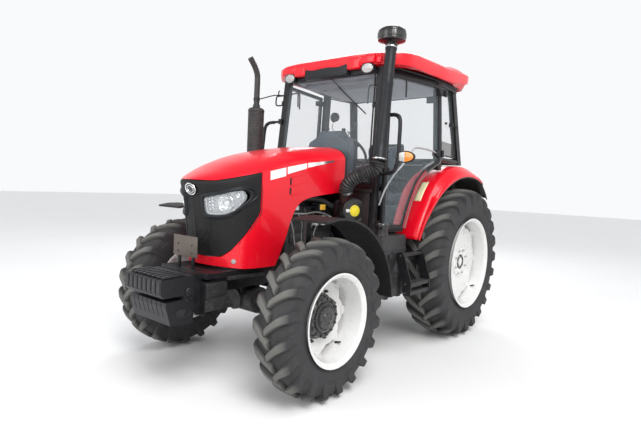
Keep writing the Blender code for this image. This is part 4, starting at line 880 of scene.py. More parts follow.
for s, lab in ((1, "left"), (-1, "right")):
    line = [(s * y, z) for y, z in grow(lamp_line, 0.985)]
    put(blob(front_w, line, -0.003, 0.003, crown=0.002), "headlight_lens_" + lab, LENS, "hood", 40, ["headlight_" + lab])
    put(blob(front_w, line, -0.050, 0.004), "headlight_back_" + lab, surface("lamp_housing_" + lab, (0.30, 0.31, 0.33), 0.30, metal=0.8, vary=0.15, scale=30), "hood", 40)
    p, nrm = on_front(s * 0.250, 1.352)
    fwd = (nrm + Vector((0.8, 0, 0))).normalized()
    c = p - fwd * 0.052
    k = Kit()
    k.lathe(c, c + fwd, [(0, 0), (0, 0.018), (0.004, 0.030), (0.014, 0.044), (0.030, 0.055), (0.036, 0.057), (0.038, 0.060), (0.036, 0.062), (0.010, 0.056), (-0.002, 0.030), (-0.002, 0)], 40, world=True)
    k.lathe(c + fwd * 0.010, c + fwd, [(0, 0), (0, 0.020), (0.010, 0.021), (0.019, 0.017), (0.024, 0.010), (0.026, 0)], 28, world=True)
    for i, (yy, zz) in enumerate(((0.135, 1.375), (0.135, 1.350), (0.135, 1.325), (0.135, 1.300), (0.162, 1.382), (0.162, 1.357), (0.162, 1.332), (0.162, 1.307))):
        q, n2 = on_front(s * yy, zz)
        k.lathe(q - n2 * 0.044, q, [(0, 0), (0, 0.011), (0.006, 0.009), (0.010, 0)], 8, world=True)
    q, n2 = on_front(s * 0.318, 1.412)
    k.lathe(q - n2 * 0.045, q, [(0, 0), (0, 0.016), (0.012, 0.020), (0.016, 0.018), (0.010, 0.008), (0.010, 0)], 24, world=True)
    k.tube([front_w(s * y, z, -0.020) for y, z in grow([(abs(a), b) for a, b in line], 0.93)], 0.0030, n=6, per=1, world=True, closed=True)
    k.done("headlight_reflector_" + lab, CHROME, "hood", None, 40)

# blank round badge, plate and side details
k = Kit()
c, nrm = on_front(0.012, 1.447)
u = Vector((0, 1, 0))
v = nrm.cross(u).normalized()
ringpts = [c + nrm * 0.004 + u * math.cos(2 * math.pi * i / 40) * 0.056 + v * math.sin(2 * math.pi * i / 40) * 0.042 for i in range(40)]
k.tube(ringpts, 0.0048, n=8, per=1, world=True, closed=True)
k.tube([c + nrm * 0.006 + (p - c - nrm * 0.004) * 0.62 for p in ringpts], 0.0028, n=8, per=1, world=True, closed=True)
k.done("badge_ring", CHROME, "hood", None, 40)
k = Kit()
k.prism([(math.cos(2 * math.pi * i / 40) * 0.056, math.sin(2 * math.pi * i / 40) * 0.042) for i in range(40)], c + nrm * 0.002, u, v, 0.007, 0.001)
k.done("badge_face", GLOSS, "hood", None, 40)

for s, lab, where in ((1, "left", side_l), (-1, "right", side_r)):
    k = Kit()
    k.add(skin(where, [(2.352, 1.602), (2.183, 1.640), (2.181, 1.573), (2.350, 1.535)], 0.0012, 0.0016, 10, 3))
    k.add(skin(where, [(2.166, 1.644), (1.934, 1.688), (1.932, 1.645), (2.164, 1.588)], 0.0012, 0.0016, 12, 3))
    k.done("hood_stripe_" + lab, STRIPE, "hood", None, 40)
    k = Kit()
    k.add(skin(where, [(1.921, 1.691), (1.560, 1.735), (1.560, 1.722), (1.919, 1.652)], 0.0012, 0.0016, 18, 3))
    k.done("hood_stripe_fade_" + lab, FADE, "hood", None, 40)
    # two slots with the pressed fins behind them
    k = Kit()
    for z0, z1 in ((1.505, 1.560), (1.430, 1.485)):
        k.add(skin(where, [(2.134, z1), (2.112, z1), (2.112, z0), (2.134, z0)], 0.0008, 0.0015, 2, 3))
    k.done("hood_slots_" + lab, SEAL, "hood", None, 40)
    k = Kit()
    for z in (1.568, 1.497, 1.422):
        pts = [where(x, z + (2.11 - x) * 0.17 + 0.002, -0.0030) for x in (2.110, 2.06, 2.0, 1.94, 1.89)]
        k.tube(pts, 0.0060, n=10, per=4, world=True, radii=lambda t: 0.0062 - 0.0035 * t)
    k.tube([where(2.137, z, -0.0028) for z in (1.422, 1.470, 1.520, 1.568)], 0.0052, n=8, per=3, world=True)
    k.done("hood_fins_" + lab, RED, "hood", "red_paint", 40)
    # latch hole
    p, nrm = on_side(2.600, 0.930, s)
    k = Kit()
    k.lathe(p - nrm * 0.004, p + nrm, [(0, 0), (0, 0.017), (0.0050, 0.017), (0.0056, 0.015), (0.0052, 0.0)], 24, world=True)
    k.done("latch_hole_" + lab, SEAL, "hood", None, 40)
    k = Kit()
    k.lathe(p - nrm * 0.002, p + nrm, [(0, 0.016), (0.004, 0.018), (0.0066, 0.0178), (0.0070, 0.016), (0.004, 0.015)], 24, world=True)
    k.bolt(p + nrm * 0.001, nrm, 0.005, 0.003, world=True)
    k.done("latch_ring_" + lab, ZINC, "hood", None, 40)
    # rear seal of the hood
k = Kit()
pts = [hood_point(1.392, v, 0.012) for v in (0.62, 0.7, 0.8, 0.9, 1.0, 1.1, 1.2, 1.35, 1.5, 1.65, 1.8, 2.0)]
pts = pts + [Vector((p.x, -p.y, p.z)) for p in reversed(pts[:-1])]
k.tube([p - Vector((0.008, 0, 0)) for p in pts], 0.014, n=10, per=3, world=True)
k.done("hood_rear_seal", SEAL, "hood", None, 40)
k = Kit()
for s in (1, -1):
    k.tube([on_side(x, z, s, 0.0004)[0] for x, z in [(2.425, 1.598), (2.425, 1.45), (2.425, 1.302), (2.438, 1.268), (2.51, 1.163), (2.585, 1.055)]], 0.0028, n=8, per=3, world=True)
k.done("panel_joint", SEAL, "hood", None, 40)
# black radiator frame and screen under the hood
k = Kit()
for y in (-0.30, 0.30):
    k.box((2.06, y - 0.012, 0.90), (2.10, y + 0.012, 1.50))
k.box((2.06, -0.31, 1.46), (2.10, 0.31, 1.50)).box((2.06, -0.31, 0.90), (2.10, 0.31, 0.94))
k.box((2.074, -0.29, 0.93), (2.086, 0.29, 1.47))
for i in range(24):
    z = 0.95 + i * 0.0215
    k.box((2.066, -0.288, z), (2.094, 0.288, z + 0.006), 0)
k.done("radiator_guard", DARKSTEEL, "chassis", None, 40)

# blank plate on its bracket
k = Kit()
k.box((2.826, -0.140, 0.955), (2.831, 0.145, 1.105), 0.0015)
k.done("front_plate", PLATE, "chassis", None, 40)
k = Kit()
for y in (-0.08, 0.085):
    k.box((2.812, y - 0.014, 0.858), (2.825, y + 0.014, 1.07), 0.002)
    for z in (0.985, 1.04):
        k.bolt(W(2.831, y, z), (1, 0, 0), 0.005, 0.004, world=True)
k.box((2.76, -0.12, 0.856), (2.835, 0.125, 0.866), 0.002)
k.done("plate_bracket", BLACK, "chassis", None, 40)

# ------------------------------------------------------------------ front weights
k = Kit()
for s in (1, -1):
    k.rod((2.945, s * 0.220, 0.745), (2.945, s * 0.236, 0.745), 0.030, n=28, edge=0.004)
    k.rod((2.945, s * 0.236, 0.745), (2.945, s * 0.244, 0.745), 0.014, n=6)
    oval = [(2.985 - 1 + 0.055 * math.cos(2 * math.pi * i / 36), 0.600 + 0.030 * math.sin(2 * math.pi * i / 36)) for i in range(36)]
    k.tube([(a, s * 0.223, b) for a, b in oval], 0.0035, n=8, per=1, world=True, closed=True)
    k.prism([(p[0] * 0.9 + (2.985 - 1) * 0.1, p[1] * 0.9 + 0.06) for p in oval], (0, s * 0.222, 0), (1, 0, 0), (0, 0, 1), 0.004, 0.001)
    k.box((3.075, s * 0.214, 0.79), (3.085, s * 0.226, 0.80), 0.002)
    k.bolt(W(3.095, s * 0.222, 0.775), (0, s, 0), 0.008, 0.006, world=True)
    k.rod((2.955, s * 0.221, 0.690), (2.955, s * 0.227, 0.690), 0.009, n=20)
for i in range(8):
    yc = -0.222 + 0.444 * (i + 0.5) / 8
    k.box((2.965, yc - 0.020, 0.8535), (3.140, yc + 0.020, 0.860), 0.003)
    k.box((2.985, yc - 0.012, 0.859), (3.120, yc + 0.012, 0.865), 0.003)
    k.box((3.163, yc - 0.019, 0.757), (3.168, yc + 0.019, 0.836), 0.002)
k.rod((2.93, -0.235, 0.70), (2.93, 0.235, 0.70), 0.010, n=12)
k.done("weight_details", WEIGHT, "chassis", "cast_black", 40)

# frame rails, brackets and bolts behind the weights
k = Kit()
for s in (1, -1):
    k.box((2.66, s * 0.262, 0.615), (2.84, s * 0.285, 0.795), 0.004)
    k.box((2.30, s * 0.255, 0.80), (2.66, s * 0.300, 0.828), 0.004)
    k.sideplate([(2.60, 0.60), (2.86, 0.60), (2.86, 0.68), (2.66, 0.70)], s * 0.286, s * 0.296, 0.002)
    for x in (2.69, 2.76, 2.82):
        for z in (0.66, 0.76):
            k.bolt(W(x, s * 0.285, z), (0, s, 0), 0.009, 0.008, world=True)
    for x in (2.12, 2.22, 2.34, 2.46):
        k.bolt(W(x, s * 0.192, 0.82), (0, s, 0), 0.010, 0.008, world=True)
k.done("front_frame_bolts", CAST, "chassis", "cast_black", 40)

# ------------------------------------------------------------------ engine bay, seen under the hood
k = Kit()
k.box((1.42, -0.16, 1.315), (1.98, 0.16, 1.385), 0.015)
for i in range(6):
    k.box((1.45 + i * 0.088, -0.13, 1.383), (1.50 + i * 0.088, 0.13, 1.400), 0.006)
k.box((1.42, 0.205, 1.02), (1.96, 0.235, 1.10), 0.01)
for i in range(8):
    k.bolt(W(1.45 + i * 0.068, 0.235, 1.06), (0, 1, 0), 0.009, 0.008, world=True)
k.box((1.62, 0.205, 0.86), (1.86, 0.248, 0.99), 0.02)                     # injection pump
for i in range(4):
    k.rod((1.65 + i * 0.055, 0.232, 0.985), (1.65 + i * 0.055, 0.232, 1.035), 0.012, n=12)
k.rod((1.50, 0.215, 0.80), (1.50, 0.235, 0.80), 0.048, n=24, edge=0.006)    # oil filter
k.rod((1.92, 0.205, 0.74), (1.92, 0.245, 0.74), 0.055, n=24, edge=0.006)
k.rod((1.99, -0.02, 1.12), (2.05, -0.02, 1.12), 0.14, n=40)
k.rod((1.98, 0.20, 1.19), (2.04, 0.20, 1.19), 0.055, n=28)
k.box((1.45, -0.235, 0.95), (1.95, -0.205, 1.28), 0.01)
for i in range(4):
    k.box((1.49 + i * 0.12, -0.30, 1.12), (1.55 + i * 0.12, -0.23, 1.20), 0.012)
k.box((1.47, -0.335, 1.11), (1.93, -0.275, 1.21), 0.02)                   # manifold
k.rod((1.42, 0.17, 0.75), (1.42, 0.235, 0.75), 0.05, n=24)                  # starter
k.rod((1.42, 0.16, 0.68), (1.62, 0.22, 0.68), 0.040, n=24)
k.done("engine_castings", surface("engine_black", (0.028, 0.028, 0.030), 0.42, vary=0.3, scale=14, grain=0.4, grain_scale=160, dust=0.12, metal=0.2), "chassis", "cast_black", 35)
k = Kit()
for i in range(4):
    x0 = 1.65 + i * 0.055
    k.tube([(x0, 0.232, 1.03), (x0 + 0.01, 0.238, 1.10), (x0 - 0.03 + i * 0.02, 0.25, 1.20), (1.52 + i * 0.12, 0.20, 1.31)], 0.004, n=8)
k.tube([(2.00, 0.28, 1.275), (1.85, 0.29, 1.268), (1.70, 0.285, 1.280), (1.56, 0.30, 1.255), (1.46, 0.33, 1.20)], 0.008, n=10)
k.tube([(2.075, 0.33, 1.235), (2.045, 0.34, 1.15), (2.02, 0.335, 1.065), (2.005, 0.33, 1.02)], 0.006, n=8)
k.rod((1.56, 0.245, 1.16), (1.56, 0.245, 1.25), 0.036, n=24, edge=0.004)
k.rod((1.66, 0.245, 1.16), (1.66, 0.245, 1.25), 0.036, n=24, edge=0.004)
for i in range(5):
    k.bolt(W(1.66 + i * 0.04, 0.248, 0.88), (0, 1, 0), 0.006, 0.006, world=True)
k.done("engine_pipes", ZINC, "chassis", None, 35)
k = Kit()
k.tube([(1.98, 0.10, 1.30), (1.90, 0.24, 1.38), (1.78, 0.28, 1.40), (1.62, 0.29, 1.38), (1.50, 0.30, 1.33)], 0.022, n=14, ribs=(0.02, 0.0008))
k.tube([(2.02, 0.20, 0.95), (1.96, 0.22, 0.90), (1.86, 0.225, 0.80), (1.70, 0.225, 0.72), (1.55, 0.21, 0.70)], 0.016, n=12)
k.tube([(1.40, 0.20, 1.10), (1.37, 0.225, 1.05), (1.39, 0.235, 0.98), (1.50, 0.235, 0.95), (1.60, 0.230, 0.92)], 0.009, n=10)
k.tube([(1.98, -0.15, 1.28), (1.9, -0.28, 1.34), (1.6, -0.30, 1.34), (1.46, -0.28, 1.30)], 0.022, n=12)
k.tube([(1.99, -0.02, 1.265), (2.03, 0.13, 1.255), (2.035, 0.255, 1.20), (2.03, 0.23, 1.135), (2.03, 0.06, 0.98), (2.03, -0.10, 0.985), (2.03, -0.165, 1.12), (2.03, -0.10, 1.25)], 0.008, n=8, closed=True)
for s in (1, -1):
    k.tube([(2.10, s * 0.10, 0.52), (2.07, s * 0.16, 0.60), (2.02, s * 0.16, 0.68), (1.95, s * 0.2, 0.72)], 0.009, n=10)
k.done("engine_hoses", RUBBER, "chassis", "black_rubber", 40)
k = Kit()
k.box((1.590, 0.296, 1.300), (1.660, 0.300, 1.346), 0.001)
k.done("engine_label", surface("amber_label", (0.75, 0.42, 0.04), 0.45, vary=0.25, scale=60), "chassis", None, 40)
k = Kit()
k.box((1.93, 0.290, 1.30), (1.985, 0.294, 1.335), 0.001)
k.done("engine_tag", WHITE, "chassis", None, 40)
k = Kit()
k.box((1.578, 0.20, 1.286), (1.672, 0.296, 1.354), 0.008)
k.box((1.92, 0.20, 1.27), (1.99, 0.290, 1.345), 0.008)
k.tube([(1.93, 0.24, 1.31), (1.84, 0.27, 1.318), (1.75, 0.27, 1.322), (1.66, 0.24, 1.322)], 0.007, n=8)
k.done("engine_boxes", PLASTIC, "chassis", "black_plastic", 40)
# firewall and heat shield between hood and cab
k = Kit()
k.box((1.350, -0.60, 1.125), (1.358, 0.60, 1.497), 0.002)
k.box((1.346, -0.62, 1.470), (1.366, 0.62, 1.500), 0.004)
k.done("firewall", surface("firewall_paint", (0.010, 0.0035, 0.0042), 0.5, vary=0.2, grain=0.1, dust=0.04), "chassis", "maroon_paint", 40)
k = Kit()
k.box((1.358, -0.34, 1.14), (1.374, 0.34, 1.46), 0.004)
k.box((1.30, -0.34, 1.500), (1.362, 0.34, 1.53), 0.006)
k.done("firewall_lining", BLACK, "chassis", None, 40)

# ------------------------------------------------------------------ CAD nodes that stay, with better finishes
def dress(names, mat, bevel=0.0, segments=2):
    for n in names:
        ob = NODES[n]
        ob.data.materials.clear()
        ob.data.materials.append(mat)
        mods(ob, bevel, segments, weld=bool(bevel))


# ------------------------------------------------------------------ intake: air cleaner, ribbed hose, stack with bowl
CLEARHALF = surface("clear_lens_half", (0.55, 0.55, 0.53), 0.16, coat=1.0, vary=0.18, scale=60)
LAMPFACE = surface("work_lamp_face", (0.50, 0.49, 0.46), 0.28, metal=0.6, vary=0.25, scale=60)
S_LO, S_HI = W(1.410, 0.716, 1.742), W(1.262, 0.688, 2.755)
L = (S_HI - S_LO).length
k = Kit()
k.lathe(S_LO, S_HI, [(0, 0.0), (0, 0.057), (0.004, 0.060), (0.070, 0.060), (0.074, 0.0575), (0.150, 0.0570), (0.154, 0.0540), (L * 0.645, 0.0515), (L * 0.650, 0.0535), (L * 0.668, 0.0535), (L * 0.673, 0.0500),
                         (L - 0.05, 0.0475), (L - 0.045, 0.051), (L, 0.052), (L, 0.0)], 40, world=True)
k.done("intake_pipe", PLASTIC, "chassis", "black_plastic", 32, ["intake_stack"])
k = Kit()
b0 = W(1.262, 0.688, 2.745)
k.lathe(b0, b0 + Vector((0, 0, 1)), [(0, 0), (0, 0.053), (0.012, 0.055), (0.022, 0.075), (0.034, 0.112), (0.040, 0.120), (0.046, 0.122), (0.052, 0.1215), (0.054, 0.1185), (0.060, 0.1185), (0.062, 0.1215),
                                     (0.085, 0.1220), (0.110, 0.1205), (0.114, 0.1170), (0.118, 0.1205), (0.124, 0.1205), (0.130, 0.1170), (0.140, 0.105), (0.150, 0.080), (0.1565, 0.048), (0.1590, 0.020), (0.1590, 0)], 56, world=True)
for i in range(28):
    a = 2 * math.pi * i / 28
    p = b0 + Vector((math.cos(a) * 0.1215, math.sin(a) * 0.1215, 0.072))
    k.box(p - Vector((0.0025, 0.0025, 0.008)), p + Vector((0.0025, 0.0025, 0.034)), 0.001, world=True)
k.bolt(b0 + Vector((0, 0, 0.157)), (0, 0, 1), 0.0085, 0.003, world=True)
k.done("intake_bowl", GLOSS, "chassis", "black_plastic", 32)
k = Kit()
axis = (S_HI - S_LO).normalized()
for t, r in ((0.012, 0.0612), (L - 0.030, 0.0525)):
    c = S_LO + axis * t
    k.lathe(c, c + axis, [(0, r - 0.003), (0, r), (0.010, r), (0.010, r - 0.003)], 40, world=True)
    e = Vector((0.3, 0.95, 0)).normalized()
    k.rod(c + axis * 0.005 + e * (r + 0.002) - Vector((0.012, 0, 0)), c + axis * 0.005 + e * (r + 0.002) + Vector((0.012, 0, 0)), 0.0045, n=10, world=True)
k.done("intake_clamps", STEEL, "chassis", "steel", 32)
hose = [(1.512, 0.457, 1.462), (1.530, 0.470, 1.500), (1.540, 0.505, 1.548), (1.520, 0.560, 1.592), (1.470, 0.640, 1.640), (1.425, 0.700, 1.680), (1.414, 0.715, 1.745)]
k = Kit()
k.tube(hose, 0.0560, n=28, per=22, ribs=(0.0220, 0.0060))
k.done("intake_hose_ribbed", RUBBER, "chassis", "black_rubber", 60, ["intake_hose"])
k = Kit()
for p, d in (((1.516, 0.460, 1.470), (0.35, 0.3, 0.9)),):
    c, d = W(*p), Vector(d).normalized()
    k.lathe(c - d * 0.006, c + d, [(0, 0.048), (0, 0.0535), (0.012, 0.0535), (0.012, 0.048)], 36, world=True)
k.done("hose_clamp", STEEL, "chassis", "steel", 32)
face = W(1.425, 0.500, 1.302)                            # centre of the outer face, which looks a little forwards
an = Vector((math.sin(math.radians(24)), math.cos(math.radians(24)), 0))
au = Vector((an.y, -an.x, 0))
k = Kit()
k.lathe(face - an * 0.235, face, [(0, 0), (0, 0.085), (0.006, 0.105), (0.016, 0.112), (0.120, 0.112), (0.126, 0.1145), (0.150, 0.1145), (0.153, 0.118), (0.172, 0.1182), (0.220, 0.1172), (0.229, 0.113), (0.2345, 0.105), (0.2320, 0.100),
                                 (0.2320, 0.078), (0.2345, 0.073), (0.2345, 0.0)], 64, world=True)
for i in range(4):
    a = 2 * math.pi * (i + 0.4) / 4
    e = au * math.cos(a) + Vector((0, 0, math.sin(a)))
    p = face - an * 0.072 + e * 0.1195
    k.box(p - Vector((0.006, 0.018, 0.006)), p + Vector((0.006, 0.018, 0.006)), 0.002, world=True)
k.done("air_cleaner_body", surface("cleaner_black", (0.012, 0.011, 0.012), 0.42, coat=0.3, vary=0.2, scale=10, grain=0.15, dust=0.06), "chassis", "maroon_paint", 32, ["air_cleaner"])
k = Kit()
k.lathe((1.470, 0.415, 1.385), (1.516, 0.460, 1.475), [(0, 0), (0, 0.046), (0.07, 0.045), (0.11, 0.045), (0.11, 0)], 32)
c = face - an * 0.165
k.lathe(c, c + an, [(0, 0.1140), (0, 0.1190), (0.022, 0.1190), (0.022, 0.1140)], 48, world=True)
k.box((1.36, 0.28, 1.165), (1.50, 0.36, 1.19), 0.006)
k.done("air_cleaner_bracket", MAROON, "chassis", "maroon_paint", 35)
k = Kit()
k.lathe(face - an * 0.001, face + an, [(0, 0), (0, 0.050), (0.0018, 0.0500), (0.0024, 0.0485), (0.0024, 0)], 48, world=True)
k.done("yellow_disc", YELLOW, "chassis", None, 32)
k = Kit()
k.tube([face + an * 0.0016 + au * (0.040 * math.cos(a * math.pi / 18)) + Vector((0, 0, 0.040 * math.sin(a * math.pi / 18))) for a in range(36)], 0.0010, n=6, per=1, world=True, closed=True)
k.done("yellow_disc_ring", surface("ochre_ring", (0.45, 0.33, 0.02), 0.5, vary=0.1), "chassis", None, 32)
k = Kit()
k.prism([(0.052, -0.013), (0.088, -0.013), (0.088, 0.013), (0.052, 0.013)], face, au, Vector((0, 0, 1)), 0.0024, 0.0006)
k.done("white_tag", WHITE, "chassis", None, 32)

# ------------------------------------------------------------------ exhaust
k = Kit()
k.lathe((1.74, -0.472, 1.33), (1.74, -0.472, 2.22), [(0, 0), (0, 0.060), (0.010, 0.070), (0.020, 0.0740), (0.028, 0.0775), (0.036, 0.0775), (0.040, 0.0745), (0.850, 0.0745), (0.854, 0.0775), (0.862, 0.0775), (0.870, 0.0740), (0.880, 0.066), (0.890, 0.040), (0.890, 0)], 48)
rows = 30
for j in range(rows):                                   # pressed rows of the heat shield
    z = 1.385 + j * 0.0272
    k.tube([(1.74 + 0.0745 * math.cos(a), -0.472 + 0.0745 * math.sin(a), z) for a in [2 * math.pi * i / 40 for i in range(40)]], 0.0030, n=6, per=1, closed=True)
k.done("muffler_shield", pattern_bump(surface("muffler_black", (0.030, 0.029, 0.029), 0.55, vary=0.2, scale=14, dust=0.16), "cells", 130, 0.9, 0.004), "chassis", "black_steel", 32, ["exhaust_stack"])
k = Kit()
k.tube([(1.74, -0.472, 2.20), (1.74, -0.472, 2.34), (1.74, -0.472, 2.48), (1.746, -0.472, 2.535), (1.775, -0.472, 2.590), (1.812, -0.472, 2.634), (1.836, -0.472, 2.661)], 0.0270, n=28, per=6)
k.rod((1.74, -0.472, 2.215), (1.74, -0.472, 2.245), 0.034, n=28)
k.tube([(1.74, -0.472, 1.35), (1.74, -0.472, 1.28), (1.74, -0.455, 1.225), (1.74, -0.40, 1.205), (1.74, -0.30, 1.20)], 0.040, n=24, per=5)
k.tube([(1.69, -0.472, 1.42), (1.62, -0.44, 1.42), (1.58, -0.36, 1.40)], 0.010, n=10)
k.done("exhaust_pipe", surface("exhaust_black", (0.024, 0.024, 0.025), 0.46, vary=0.25, scale=12, grain=0.2, dust=0.12), "chassis", "black_steel", 32)
k = Kit()
k.tube([(1.74, -0.472, 2.30), (1.62, -0.52, 2.33), (1.40, -0.585, 2.40), (1.255, -0.60, 2.425)], 0.0055, n=10, per=4)
k.lathe((1.74, -0.472, 2.285), (1.74, -0.472, 2.4), [(0, 0.026), (0, 0.031), (0.024, 0.031), (0.024, 0.026)], 28)
k.done("exhaust_stay", BLACK, "chassis", "black_steel", 35)

# ------------------------------------------------------------------ roof
ROOF = [(1.315, 0.0), (1.315, 0.22), (1.302, 0.44), (1.270, 0.560), (1.180, 0.705), (1.09, 0.765), (0.95, 0.782), (0.60, 0.796), (0.35, 0.805), (0.05, 0.797), (-0.18, 0.775), (-0.265, 0.69), (-0.288, 0.50), (-0.295, 0.25), (-0.295, 0.0)]
line = [(p.x, p.y) for p in smooth_path([(x, y, 0) for x, y in ROOF], 5)]
line = line + [(x, -y) for x, y in reversed(line[1:-1])]
sect = [(0.070, 2.640, 1.0), (0.045, 2.610, 1.0), (0.018, 2.604, 1.0), (0.004, 2.606, 1.0), (0.0, 2.618, 1.0), (-0.004, 2.660, 0.9), (-0.004, 2.700, 0.6), (0.004, 2.722, 0.35), (0.030, 2.742, 0.15), (0.055, 2.750, 0.05),
        (0.085, 2.760, 0.0), (0.105, 2.7665, 0.0), (0.115, 2.763, 0.0), (0.130, 2.763, 0.0), (0.142, 2.769, 0.0), (0.20, 2.780, 0.0), (0.30, 2.788, 0.0), (0.42, 2.793, 0.0), (0.60, 2.796, 0.0)]
bm = bmesh.new()
rings = []
for inset_by, z, lift in sect:
    kk = 1 - inset_by / 0.75
    ring = []
    for x, y in line:
        rise = (0.085 * max(0.0, (0.25 - x) / 0.58) + 0.060 * max(0.0, -x / 0.29) * (1 - min(1.0, abs(y) / 0.80) ** 3)) * lift
        zz = min(z + rise, 2.740) if inset_by < 0.02 and z < 2.71 else z - 0.025 * max(0.0, (x - 0.9) / 0.4) * (1 if inset_by < 0.3 else 0.5)
        if z >= 2.70:                                    # fuller shoulder over the rear quarter
            zz += 0.052 * math.exp(-((x + 0.02) / 0.20) ** 2) * math.exp(-((inset_by - 0.09) / 0.11) ** 2)
        ring.append(bm.verts.new(W(0.45 + (x - 0.45) * kk, y * kk, zz)))
    rings.append(ring)
for a, b in zip(rings, rings[1:]):
    for i in range(len(a)):
        j = (i + 1) % len(a)
        bm.faces.new((a[i], a[j], b[j], b[i]))
mid = bm.verts.new(W(0.45, 0, 2.797))
for i in range(len(rings[-1])):
    bm.faces.new((rings[-1][i], rings[-1][(i + 1) % len(line)], mid))
low = bm.verts.new(W(0.45, 0, 2.645))
for i in range(len(rings[0])):
    bm.faces.new((rings[0][(i + 1) % len(line)], rings[0][i], low))
put(bm, "roof_cap", RED, "chassis", 40, ["cab_roof"])
k = Kit()
for s in (1, -1):                                        # red housings either side of the black panel
    k.box((1.262, s * 0.255, 2.578), (1.322, s * 0.395, 2.684), 0.014, seg=3)
    k.box((1.250, s * 0.395, 2.615), (1.312, s * 0.545, 2.690), 0.014, seg=3)
    k.box((1.20, s * 0.535, 2.610), (1.285, s * 0.600, 2.680), 0.016, seg=3)
k.done("roof_front_housings", RED, "chassis", "red_paint", 38)
k = Kit()
k.box((1.255, -0.258, 2.535), (1.316, 0.258, 2.662), 0.008)
k.box((1.225, -0.53, 2.535), (1.262, 0.53, 2.600), 0.006)
for s in (1, -1):
    k.box((1.235, s * 0.42, 2.560), (1.275, s * 0.53, 2.622), 0.01)
    k.tube([(1.17, s * 0.62, 2.60), (0.80, s * 0.70, 2.60), (0.35, s * 0.735, 2.600), (-0.08, s * 0.70, 2.610)], 0.010, n=8, per=4)
k.done("roof_front_panel", PLASTIC, "chassis", "black_plastic", 38)
for s, lab in ((1, "left"), (-1, "right")):
    c = W(1.262, s * 0.468, 2.580)
    fwd = Vector((0.985, s * 0.08, -0.12)).normalized()
    u = Vector((0, 1, 0))
    v = fwd.cross(u).normalized()
    k = Kit()
    ov = [(0.066 * math.cos(2 * math.pi * i / 36), 0.045 * math.sin(2 * math.pi * i / 36)) for i in range(36)]
    k.prism(ov, c + fwd * 0.014, u, v, 0.036, 0.004)
    k.box((1.235, s * 0.468 - 0.010, 2.600), (1.262, s * 0.468 + 0.010, 2.640), 0.003)
    k.tube([c + fwd * 0.034 + u * a + v * b for a, b in ov], 0.0055, n=8, per=1, world=True, closed=True)
    k.done("work_lamp_housing_" + lab, GLOSS, "chassis", None, 38)
    k = Kit()
    k.prism([(a * 0.86, b * 0.84) for a, b in ov], c + fwd * 0.0335, u, v, 0.004, 0.001)
    for i in range(5):
        k.box(c + fwd * 0.036 + u * (-0.036 + i * 0.018 - 0.006) - v * 0.014 - fwd * 0.002, c + fwd * 0.036 + u * (-0.036 + i * 0.018 + 0.006) + v * 0.014 + fwd * 0.002, 0.0015, world=True)
    k.done("work_lamp_lens_" + lab, LAMPFACE, "chassis", None, 38)
    k = Kit()
    k.prism([(a * 0.90, b * 0.88) for a, b in ov], c + fwd * 0.0405, u, v, 0.002, 0.0005)
    k.done("work_lamp_glass_" + lab, LENS, "chassis", None, 38)

# headliner with its raised middle
bm = bmesh.new()
lx = [-0.045, -0.02, 0.05, 0.2, 0.45, 0.7, 0.95, 1.06, 1.115, 1.13]
rows = []
for x in lx:
    edge = lerp([(-0.05, 0.60), (0.35, 0.645), (1.13, 0.50)], x)
    row = []
    for t in (-1, -0.97, -0.85, -0.6, -0.3, 0, 0.3, 0.6, 0.85, 0.97, 1):
        drop = 0.035 * (1 - abs(t) ** 6) * (1 - (2 * (x - 0.54) / 1.19) ** 6 if abs(2 * (x - 0.54) / 1.19) < 1 else 0)
        row.append(bm.verts.new(W(x, edge * t, 2.555 - drop)))
    rows.append(row)
for a, b in zip(rows, rows[1:]):
    for i in range(10):
        bm.faces.new((a[i], a[i + 1], b[i + 1], b[i]))
ob = put(bm, "headliner", LINER, "chassis", 50)
m = ob.modifiers.new("thick", "SOLIDIFY")
m.thickness, m.offset = 0.012, 1.0
k = Kit()
k.box((0.86, -0.44, 2.500), (1.09, 0.44, 2.545), 0.015, seg=3)
for y in (-0.30, -0.1, 0.1, 0.30):
    k.rod((0.97, y, 2.492), (0.97, y, 2.502), 0.038, n=28)
k.done("overhead_console", surface("liner_grey", (0.24, 0.27, 0.31), 0.55, vary=0.1, grain=0.15), "chassis", None, 40)

# ------------------------------------------------------------------ rear fenders
FENDER = [(18, 0.800, 0.885, 0.835, 0.872), (28, 0.810, 0.893, 0.850, 0.880), (38, 0.820, 0.910, 0.875, 0.892), (50, 0.830, 0.945, 0.895, 0.902),
          (62, 0.835, 0.978, 0.912, 0.907), (74, 0.840, 0.998, 0.922, 0.908), (86, 0.842, 1.004, 0.930, 0.910),
          (98, 0.848, 0.998, 0.935, 0.913), (110, 0.858, 0.985, 0.940, 0.917), (122, 0.870, 0.970, 0.944, 0.919), (134, 0.880, 0.955, 0.946, 0.920)]
cols = [[(r[0], r[i]) for r in FENDER] for i in range(1, 5)]


